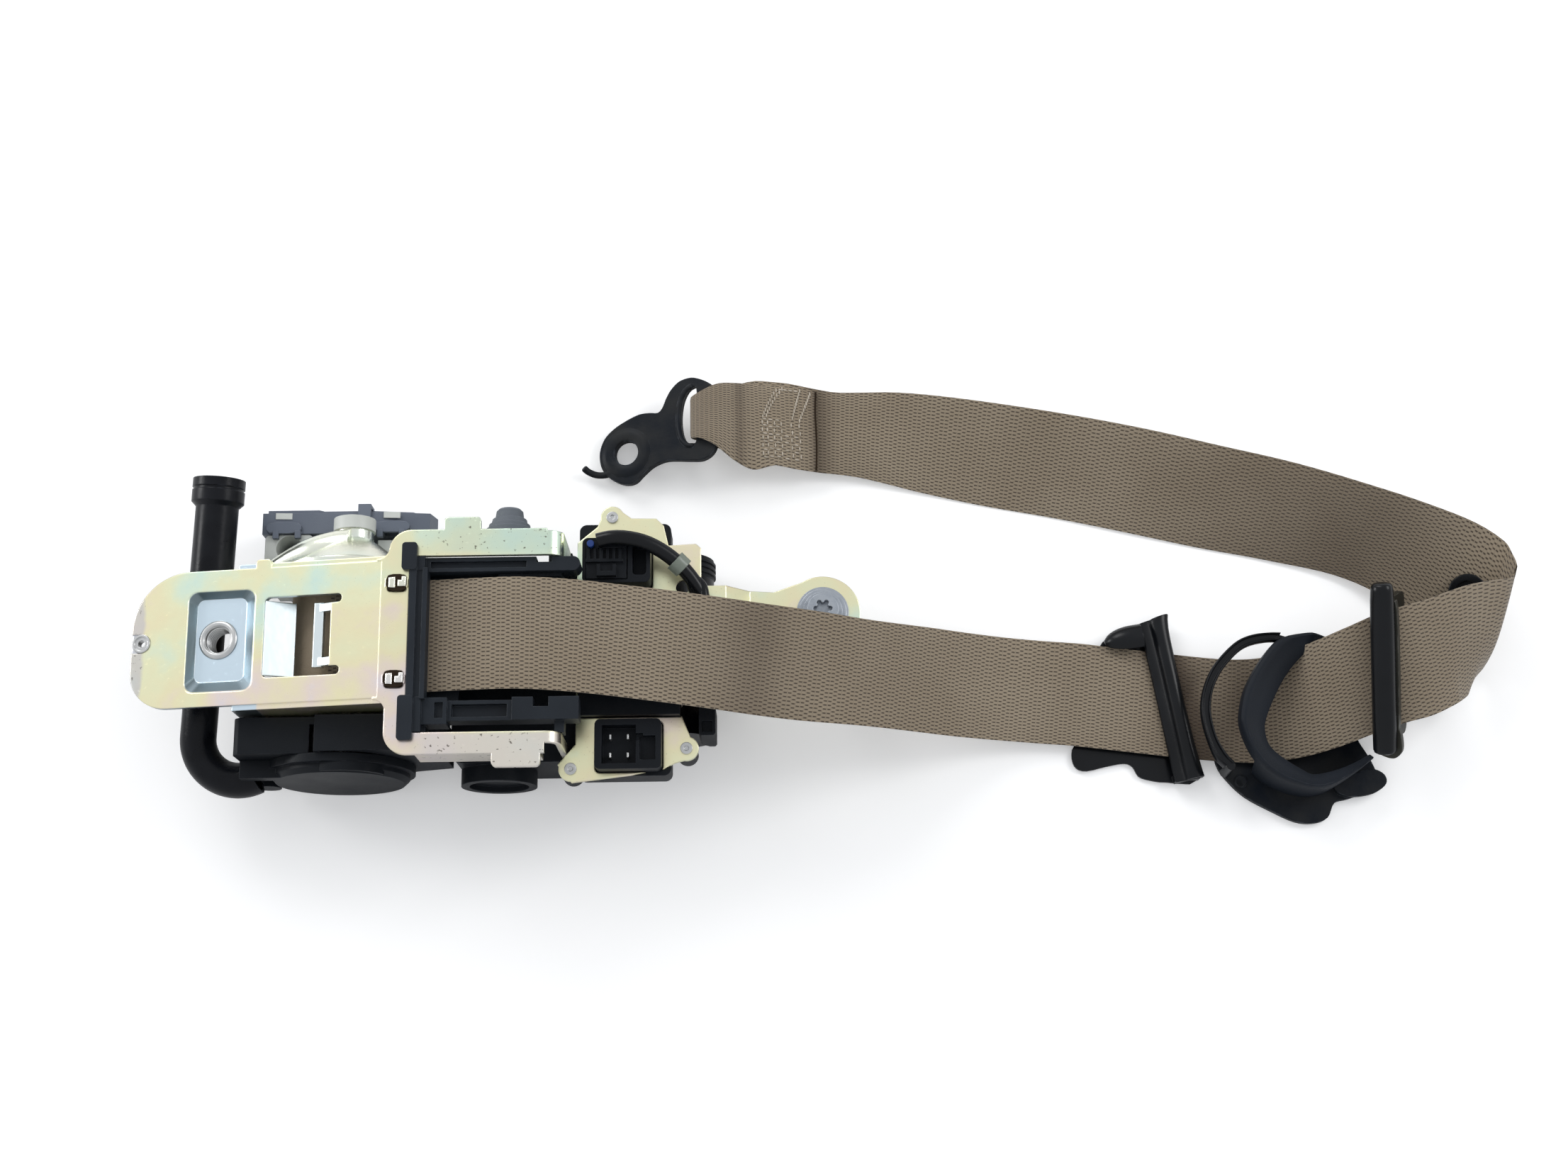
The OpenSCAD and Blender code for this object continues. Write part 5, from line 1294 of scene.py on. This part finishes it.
@dataclass
class PillarLoop:
    """Pillar loop: steel plate with a rounded leaf, moulded hood, trim hoop and rivet."""

    hood_outer: Outline = (
        (469, 4.7), (462, 6.0), (455.3, 5.8), (446.7, 4.1), (440.9, -0.5), (434.2, -9.5), (429.3, -18.4),
        (427, -27), (426.5, -33.2), (428.1, -40), (430.9, -46.4), (435.8, -53.3), (443.8, -58.5),
        (454.4, -61.6), (463.4, -60.6), (474.4, -54.7), (483.3, -48.1),
    )
    hood_inner: Outline = (
        (463.9, 1.1), (461, 0.2), (458.9, -1.1), (455, -4.1), (449.7, -9.7), (445.6, -15.5),
        (442.2, -21.6), (439.2, -27.8), (437.1, -33.9), (437.5, -39.9), (439.6, -44.2), (444.4, -48.5),
        (450.6, -52.7), (456.1, -55.2), (465.2, -53.5), (474.5, -50), (482.3, -45.9),
    )
    hood_low: float = -43.0
    hood_top: float = -36.2
    plate_top: float = -58.8
    trim_outer: Outline = (
        (447, 6.8), (442.3, 6.9), (435, 6.1), (428.4, 3.6), (422.1, -1.6), (416.4, -8.4), (412.6, -16.4),
        (410.9, -24.2), (411.1, -31.9), (413.1, -40.6), (415.9, -47.6), (419.4, -50.8),
    )
    trim_inner: Outline = (
        (445.6, 3.2), (441.1, 3.2), (434.6, 2.0), (429.6, -0.4), (424.6, -5.0), (419.8, -11.0),
        (416.4, -17.8), (414.9, -25.0), (415.1, -31.6), (416.9, -39.4), (420.6, -45.9), (424, -48.9),
    )
    plate: Outline = (
        (419.2, -46.5), (423.8, -54.3), (431, -61.4), (441.6, -67.5), (451.4, -72.2), (459.2, -73),
        (465.4, -70.8), (468.9, -64.4), (475.9, -62.4), (487.4, -58), (488.2, -53), (486, -46),
        (478.5, -30), (474, 1), (462, 6.4), (451, 4), (444, -6), (432, -12.5), (421.5, -19), (417.6, -32),
    )
    leaf: Outline = (
        (469, -57), (477, -52.6), (485.5, -50.4), (490.6, -52.8), (491, -57), (485.6, -60.8),
        (477, -62.2), (470.6, -60.8),
    )
    plate_low: float = -61.8
    leaf_top: float = -56.2
    hole: tuple[float, float, float] = (450, -30, 5.6)
    rivet: Span = (429.2, -54.6)
    trim_post: Span = (422.6, -50.4)
    trim_heights: Span = (-44.0, -39.8)
    trim_lug: Route = ((445, 5, -42), (448.5, 3.8, -41.8), (452.5, 2.4, -41.5))

    @staticmethod
    def pair(outer: Outline, inner: Outline, steps: int) -> list[tuple[Vector, Vector]]:
        """Matching points of two smooth open lines."""
        lines = [Forge.curve_through(side, steps, closed=False) for side in (outer, inner)]
        return list(zip(*lines))

    def build_hood(self) -> None:
        """Lofts the hood along its arc; its two ends stand on the plate."""
        rings = []
        pairs = self.pair(self.hood_outer, self.hood_inner, 3)
        for i, (out, ins) in enumerate(pairs):
            share = i / (len(pairs) - 1)
            foot = self.plate_top if share < 0.13 or share > 0.66 else self.hood_low
            thin = min(1.0, share / 0.08, (1 - share) / 0.22)
            top = self.hood_top - (1 - thin) * 7.0
            ring = [(0.0, foot), (0.0, top - 3.2), (0.03, top - 1.2), (0.12, top - 0.2), (0.22, top),
                    (0.32, top - 0.5), (0.62, top - 1.5), (0.9, top - 2.5), (1.0, top - 3.4),
                    (0.99, max(foot, top - 5.2)), (0.55, foot)]
            rings.append([Vector((*out.lerp(ins, t), z)) for t, z in ring])
        bm = bmesh.new()
        Forge.loft(bm, rings)
        hood = mesh_piece("loop_hood", bm, FINISHES.hood, "pillar_loop")
        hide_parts("loop_cover")

    def build_trim(self) -> None:
        """Lofts the grooved trim hoop, with a post under one end and a lug at the other."""
        rings = []
        pairs = self.pair(self.trim_outer, self.trim_inner, 4)
        for i, (out, ins) in enumerate(pairs):
            share = i / (len(pairs) - 1)
            fall = max(0.0, (share - 0.8) / 0.2) ** 2 * 3.0
            low, high = (height - fall for height in self.trim_heights)
            ring = [(0.0, low), (0.0, high - 0.4), (0.06, high), (0.18, high), (0.26, high - 1.1),
                    (0.74, high - 1.1), (0.82, high), (0.94, high), (1.0, high - 0.4), (1.0, low)]
            rings.append([Vector((*out.lerp(ins, t), z)) for t, z in ring])
        bm = bmesh.new()
        Forge.loft(bm, rings)
        Forge.pipe(bm, [Vector((*self.trim_post, z)) for z in (self.plate_top, -52, -43.8)], [2.4, 2.0, 1.9])
        Forge.pipe(bm, [Vector(p) for p in self.trim_lug], [1.6, 1.6, 1.5])
        trim = mesh_piece("loop_trim_hoop", bm, FINISHES.gloss_black, "pillar_loop")
        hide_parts("loop_trim")

    def build_plate(self) -> None:
        """Cuts the steel plate with its bore and the rounded leaf that lies on it."""
        bm = bmesh.new()
        seat = self.plate_top - 0.1
        plate, leaf = (Forge.curve_through(line, 4) for line in (self.plate, self.leaf))
        Forge.slab(bm, [plate, Forge.circle(*self.hole)], self.plate_low, seat)
        Forge.slab(bm, [leaf], seat, self.leaf_top)
        steel = mesh_piece("loop_plate_steel", bm, FINISHES.plate_steel, "pillar_loop")
        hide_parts("loop_plate")

    def build(self) -> None:
        """Builds the plate, the hood, the trim and the rivet."""
        self.build_plate()
        self.build_hood()
        self.build_trim()
        bm = bmesh.new()
        Forge.lathe(bm, [(0, 0), (2.7, 0), (2.9, 0.5), (2.3, 0.9), (1.2, 0.4), (0, 0.3)],
                    Matrix.Translation((*self.rivet, self.plate_top - 0.2)), 20)
        mesh_piece("loop_rivet", bm, FINISHES.plate_steel, "pillar_loop")


@dataclass
class AnchorPlate:
    """Sill anchor: a smooth pressed plate with a raised ring and a tail hook."""

    middle: tuple[float, float, float] = (200, 112, -44.5)
    tilt: float = 17.0
    half_thickness: float = 1.5
    hole: Span = (-37.5, -14.5)
    hole_radius: float = 5.6
    outline: Outline = (
        (-7.5, 17.6), (-3.5, 16.8), (1.2, 14.4), (4.6, 11.2), (5.8, 6), (6, -6), (5.4, -14), (3.2, -19),
        (-1.5, -21.6), (-8, -21.2), (-14, -20.4), (-19.5, -20.2), (-25, -22), (-29.5, -25.4),
        (-33.2, -28.6), (-37.5, -29.2), (-42.5, -27.4), (-47, -24), (-49.6, -19.4), (-50.2, -13),
        (-48, -6.8), (-43.4, -2.4), (-37.5, 0.8), (-31.5, 3), (-26.5, 3.2), (-22.6, 2.8), (-20.4, 4.8),
        (-18.6, 9), (-16.2, 13), (-12.4, 16.4),
    )
    slot: Outline = (
        (-4.2, 12), (-6.3, 13), (-8.6, 11.2), (-10.6, 7), (-11.6, 1), (-11.5, -5), (-10.4, -10),
        (-8.2, -13), (-6, -13.6), (-4.2, -12), (-3.9, 0),
    )
    lip: Outline = (
        (-5.8, 13.6), (-8.9, 12.2), (-11.6, 7.6), (-12.6, 1), (-12.5, -5.4), (-11.2, -10.8), (-8.6, -14),
        (-5.4, -14.6),
    )
    hook: Route = (
        (-44, -22.6, 0.1), (-48, -23.4, 0.3), (-52, -23.2, 1.2), (-55.2, -21.8, 2.8),
        (-56.6, -20.4, 4.6),
    )

    def build(self) -> None:
        """Cuts the plate and adds its ring, its tail hook and the lip of its slot."""
        place = Matrix.Translation(self.middle) @ Matrix.Rotation(math.radians(-self.tilt), 4, "Y")
        bm = bmesh.new()
        outline, slot = (Forge.curve_through(line, 4) for line in (self.outline, self.slot))
        bore = Forge.circle(*self.hole, self.hole_radius)
        Forge.slab(bm, [outline, slot, bore], -self.half_thickness, self.half_thickness, place)
        ring = place @ Matrix.Translation((*self.hole, 0))
        Forge.lathe(bm, [(5.7, 1.3), (6.1, 1.9), (7.2, 2.2), (9.4, 2.2), (10.6, 1.95), (11.6, 1.4)], ring)
        line = [place @ p for p in Forge.curve_through(self.hook, 4, closed=False)]
        Forge.pipe(bm, line, [1.55] * (len(line) - 1) + [1.2], 12, 0.8)
        lip = [place @ Vector((*p, 1.3)) for p in Forge.curve_through(self.lip, 4, closed=False)]
        Forge.pipe(bm, lip, [0.5] + [1.15] * (len(lip) - 2) + [0.5], 10)
        plate = mesh_piece("anchor_plate_steel", bm, FINISHES.plate_steel, "anchor")
        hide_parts("anchor_plate")


@dataclass
class RetractorDetails:
    """Thread, slot hooks, snap windows, housing shoulder, belt throat and spring lid of the retractor."""

    tilt: float = 9.0
    slots: tuple[Span, ...] = ((15.7, 22.3), (-24.5, -17.9))
    slot_left: float = 71.9
    slot_top: float = 16.37
    thread_turns: int = 7
    thread_pitch: float = 1.35
    thread_low: float = -9.6
    clips: Span = (13.6, 60.4)
    window_heights: Span = (-31.8, -31.2)
    boss_heights: Span = (-31.7, -29.6)
    shoulder: Route = (
        (50, 43.5, -15), (42, 43.5, -15.5), (33, 42.5, -17), (25, 40.5, -20), (17, 37.5, -23),
        (11.5, 35.5, -25),
    )
    throat: tuple[float, float, float, float] = (82.5, -28.5, 100, 25.5)
    throat_heights: Span = (1.6, 3.0)
    spool: tuple[float, float, float] = (50, 0, -22)
    lid_radii: Span = (18.1, 18.9)
    lid_depths: Span = (-54.4, -50.4)
    lid_turns: tuple[int, int, int] = (-22, 69, 6)

    def build_thread(self) -> None:
        """Turns the ridges of the thread and the rounded lip of the collar."""
        place = Matrix.Rotation(math.radians(-self.tilt), 4, "Y")
        bm = bmesh.new()
        lip = [(5.7, 0.4), (6.1, 0.95), (7.0, 1.15), (7.8, 0.9), (8.3, 0.3), (8.2, 0.1), (5.7, 0.1)]
        Forge.lathe(bm, lip, place, 48)
        for turn in range(self.thread_turns):
            low = self.thread_low + self.thread_pitch * turn
            Forge.lathe(bm, [(5.6, low - 0.5), (5.05, low), (5.6, low + 0.5)], place, 32)
        mesh_piece("collar_thread", bm, FINISHES.zinc, "frame")

    def build_slots(self) -> None:
        """Lays a dark slab as painted shade in the mouth of each slot of the plate, and the slot's two hooks.
        """
        mouth, lips = bmesh.new(), bmesh.new()
        x, top = self.slot_left, self.slot_top
        for low, high in self.slots:
            # The dark slab is painted shade standing in for the depth of the slot's hole
            box = Forge.rectangle(x + 0.2, low + 0.4, x + 7.2, high - 0.4)
            Forge.slab(mouth, [Forge.curve_through(box, 3)], top - 1.0, top + 0.05)
            left = [(x + 0.5, low + 1.2), (x + 3.2, low + 1.0), (x + 3.2, high - 1.0), (x + 0.5, high - 1.2)]
            Forge.slab(lips, [left], top, top + 0.35)
            hook = [(x + 4.3, low + 1.6), (x + 7.6, low + 1.6), (x + 7.6, high - 0.9), (x + 5.9, high - 0.9),
                    (x + 5.9, high - 2.4), (x + 4.3, high - 2.4)]
            Forge.slab(lips, [hook], top, top + 0.6)
        mesh_piece("slot_shade", mouth, FINISHES.shade, "frame", smooth=False)
        mesh_piece("slot_hooks", lips, FINISHES.pressed, "frame", smooth=False)

    def build_sensor(self) -> None:
        """Adds the snap windows of the sensor cover and the bosses beside them."""
        tabs, bosses = bmesh.new(), bmesh.new()
        for x in self.clips:
            window = [(x, 61.6), (x + 7.2, 61.4), (x + 7.2, 64.2), (x, 64.4)]
            Forge.slab(tabs, [window], *self.window_heights)
            boss = Forge.rectangle(x - 2.2, 55.2, x + 10.2, 59.4)
            Forge.slab(bosses, [Forge.curve_through(boss, 3)], *self.boss_heights)
        mesh_piece("sensor_windows", tabs, FINISHES.ivory, "frame", smooth=False)
        mesh_piece("sensor_bosses", bosses, FINISHES.grey, "frame")

    def build_bell(self) -> None:
        """Sweeps the drawn shoulder of the pressed housing down from the boss to its left foot."""
        bm = bmesh.new()
        line = Forge.curve_through(self.shoulder, 4, closed=False)
        radii = [8.6 - 5.4 * (i / (len(line) - 1)) ** 0.8 for i in range(len(line))]
        Forge.pipe(bm, line, radii, 20, 0.75)
        mesh_piece("housing_shoulder", bm, FINISHES.pressed, "frame")

    def build_throat(self) -> None:
        """Closes the belt mouth under the webbing with the guide's dark floor."""
        bm = bmesh.new()
        Forge.slab(bm, [Forge.rectangle(*self.throat)], *self.throat_heights)
        mesh_piece("guide_throat", bm, FINISHES.slate_black, "frame", smooth=False)

    def build_spring_lid(self) -> None:
        """Closes the thin top of the spring cover along its round wall."""
        bm = bmesh.new()
        rings, (inner, outer), (south, north) = [], self.lid_radii, self.lid_depths
        for turn in range(*self.lid_turns):
            a = math.radians(turn)
            out, middle = Vector((math.sin(a), 0, math.cos(a))), Vector(self.spool)
            section = ((outer, south), (outer, north), (inner, north), (inner, south))
            rings.append([middle + out * r + Vector((0, y, 0)) for r, y in section])
        Forge.loft(bm, rings)
        mesh_piece("spring_lid", bm, FINISHES.matte_black, "frame")

    def build(self) -> None:
        """Builds every detail."""
        self.build_bell()
        self.build_throat()
        self.build_spring_lid()
        self.build_thread()
        self.build_slots()
        self.build_sensor()


@dataclass
class HarnessLead:
    """The lead from the plug to the motor's terminal: a sleeve with two cores twisted in it."""

    radius: float = 3.2
    core_radius: float = 2.1
    core_offset: float = 2.0
    pitch: float = 30.0
    sleeve_points: int = 38
    core_points: int = 90
    core_span: tuple[int, int] = (36, 86)
    route: Route = (
        (156.5, 38.2, 7), (163, 39.4, 7.4), (170, 39, 6.8), (177, 37.4, 5.2), (184, 34, 2.8),
        (190, 29.4, 0.6), (195, 24, -1.6), (199, 17.4, -3.6), (201.4, 10, -5), (202.4, 2, -5.6),
        (202.4, -6, -6.6), (201.8, -12, -9), (201.2, -17, -13), (200.8, -21, -15.8),
        (200.8, -26.1, -17.2),
    )

    def points(self, count: int) -> list[Vector]:
        """Evenly spaced points of the smooth line through the route.

        Args:
            count: How many points there are.

        Returns:
            The points in metres.
        """
        dense = [p * MM for p in Forge.curve_through(self.route, 12, closed=False)]
        runs = [0.0]
        for a, b in zip(dense, dense[1:]):
            runs.append(runs[-1] + (b - a).length)
        even, j = [], 0
        for n in range(count):
            want = runs[-1] * n / (count - 1)
            while j < len(runs) - 2 and runs[j + 1] < want:
                j += 1
            share = (want - runs[j]) / (runs[j + 1] - runs[j])
            even.append(dense[j].lerp(dense[j + 1], share))
        return even

    @staticmethod
    def tube(name: str, points: list[Vector], radius: float) -> Piece:
        """A round tube along points, which rides on the frame.

        Args:
            name: Name of the piece.
            points: Its centreline in metres.
            radius: Its radius in millimetres.

        Returns:
            The curve object.
        """
        data = bpy.data.curves.new(name, "CURVE")
        data.dimensions = "3D"
        data.bevel_depth = radius * MM
        data.bevel_resolution = 6
        data.use_fill_caps = True
        data.materials.append(FINISHES.gloss_black.material())
        spline = data.splines.new("POLY")
        spline.points.add(len(points) - 1)
        for place, point in zip(spline.points, points):
            place.co = (*point, 1)
        spline.use_smooth = True
        tube = bpy.data.objects.new(name, data)
        bpy.context.scene.collection.objects.link(tube)
        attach(tube, "frame")
        log.info("made %s: %d points", name, len(points))
        return tube

    def core(self, turn: float) -> Piece:
        """One twisted core between the band and the motor's terminal.

        Args:
            turn: Angle at which it starts.

        Returns:
            The core's curve.
        """
        line = self.points(self.core_points)
        start, stop = self.core_span
        path, up, run = [], Vector((0, 0, 1)), 0.0
        for i in range(start, stop):
            along = (line[i + 1] - line[i - 1]).normalized()
            up = (up - along * up.dot(along)).normalized()
            side = along.cross(up)
            angle = turn + 2 * math.pi * run / (self.pitch * MM)
            ease = min((i - start) / 8, 1.0, (stop - 1 - i) / 4)
            reach = self.core_offset * MM * ease
            path.append(line[i] + (up * math.cos(angle) + side * math.sin(angle)) * reach)
            run += (line[i + 1] - line[i]).length
        return self.tube("lead_core_%d" % round(math.degrees(turn)), path, self.core_radius)

    def build(self) -> None:
        line = self.points(self.sleeve_points)
        sleeve = self.tube("harness_sleeve", line, self.radius)
        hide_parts("harness_lead")
        cores = [self.core(0.0), self.core(math.pi)]


@dataclass
class Studio:
    """Camera, floor and lamps."""

    focal: float = 50.45
    pitch: float = 15.5
    roll: float = 0.84
    eye: tuple[float, float, float] = (0.23342, -0.22463, 0.87754)
    aim: tuple[float, float, float] = (0.25, 0.0, -0.03)
    lamp_table: tuple[tuple, ...] = (
        ("key", (-0.45, 1.15, 0.9), 0.7, 7.0), ("fill", (1.25, 0.42, 0.85), 0.5, 4.8),
        ("side", (-1.3, 0.4, 0.45), 0.4, 6.0),
    )
    floor_size: float = 3.0
    floor_tone: Colour = (0.92, 0.92, 0.92)
    sky_tone: Colour = (0.95, 0.97, 1.0)
    sky_light: float = 0.66
    sky_shine: float = 0.74

    def camera(self) -> None:
        """Places the camera where the photograph was taken from."""
        p, r = math.radians(self.pitch), math.radians(self.roll)
        ahead = Vector((0, math.sin(p), -math.cos(p)))
        flat_up = Vector((0, math.cos(p), math.sin(p)))
        right = Vector((math.cos(r), 0, 0)) - flat_up * math.sin(r)
        up = Vector((math.sin(r), 0, 0)) + flat_up * math.cos(r)
        data = bpy.data.cameras.new("camera")
        data.lens = self.focal
        data.sensor_width = 36
        data.sensor_fit = "HORIZONTAL"
        data.clip_start = 0.01
        camera = bpy.data.objects.new("camera", data)
        turn = Matrix((right, up, -ahead)).transposed().to_4x4()
        camera.matrix_world = Matrix.Translation(self.eye) @ turn
        bpy.context.scene.collection.objects.link(camera)
        bpy.context.scene.camera = camera

    def floor(self) -> None:
        """Lays a pale floor that keeps the object's shadow."""
        bm = bmesh.new()
        bmesh.ops.create_grid(bm, x_segments=1, y_segments=1, size=self.floor_size)
        bmesh.ops.translate(bm, verts=bm.verts, vec=(0.25, 0, GROUND_Z - 0.0002))
        mesh = bpy.data.meshes.new("floor")
        bm.to_mesh(mesh)
        bm.free()
        material = bpy.data.materials.new("Studio floor")
        material.use_nodes = True
        writer = NodeWriter(material.node_tree)
        shader = material.node_tree.nodes["Principled BSDF"]
        shader.inputs["Base Color"].default_value = (*self.floor_tone, 1)
        shader.inputs["Roughness"].default_value = 0.9
        shader.inputs["Specular IOR Level"].default_value = 0.1
        path = writer.add("ShaderNodeLightPath")
        shader.inputs["Emission Color"].default_value = (1, 1, 1, 1)
        glow = writer.math("MULTIPLY", path.outputs["Is Camera Ray"], 0.25)
        writer.join(glow, shader.inputs["Emission Strength"])
        mesh.materials.append(material)
        floor = bpy.data.objects.new("floor", mesh)
        bpy.context.scene.collection.objects.link(floor)

    def lamps(self) -> None:
        """Hangs the soft lamps and sets a pale world, which mirrors show a little dimmer."""
        for name, place, size, power in self.lamp_table:
            data = bpy.data.lights.new(name, "AREA")
            data.size = size
            data.energy = power
            lamp = bpy.data.objects.new(name, data)
            aim = (Vector(self.aim) - Vector(place)).to_track_quat("-Z", "Y")
            lamp.matrix_world = Matrix.Translation(place) @ aim.to_matrix().to_4x4()
            bpy.context.scene.collection.objects.link(lamp)
        world = bpy.data.worlds.new("studio")
        world.use_nodes = True
        sky = world.node_tree.nodes["Background"]
        sky.inputs["Color"].default_value = (*self.sky_tone, 1)
        writer = NodeWriter(world.node_tree)
        path = writer.add("ShaderNodeLightPath")
        shine = writer.math("MULTIPLY", path.outputs["Is Glossy Ray"], self.sky_shine)
        seen = writer.math("MAXIMUM", path.outputs["Is Camera Ray"], shine)
        writer.join(writer.math("MAXIMUM", seen, self.sky_light), sky.inputs["Strength"])
        bpy.context.scene.world = world

    def build(self) -> None:
        """Sets up the whole studio."""
        bpy.context.scene.view_settings.view_transform = "Standard"
        self.camera()
        self.floor()
        self.lamps()
        log.info("studio ready")


def main() -> None:
    """Builds every sub-assembly in order."""
    logging.basicConfig(level=logging.INFO, format="%(name)s: %(message)s")
    Studio().build()
    NodeDresser().dress()
    HarnessLead().build()
    webbing = Webbing()
    webbing.build()
    BeltGuide().build(webbing)
    TongueGrip().build(webbing)
    PillarLoop().build()
    AnchorPlate().build()
    RetractorDetails().build()


if __name__ == "__main__":
    main()
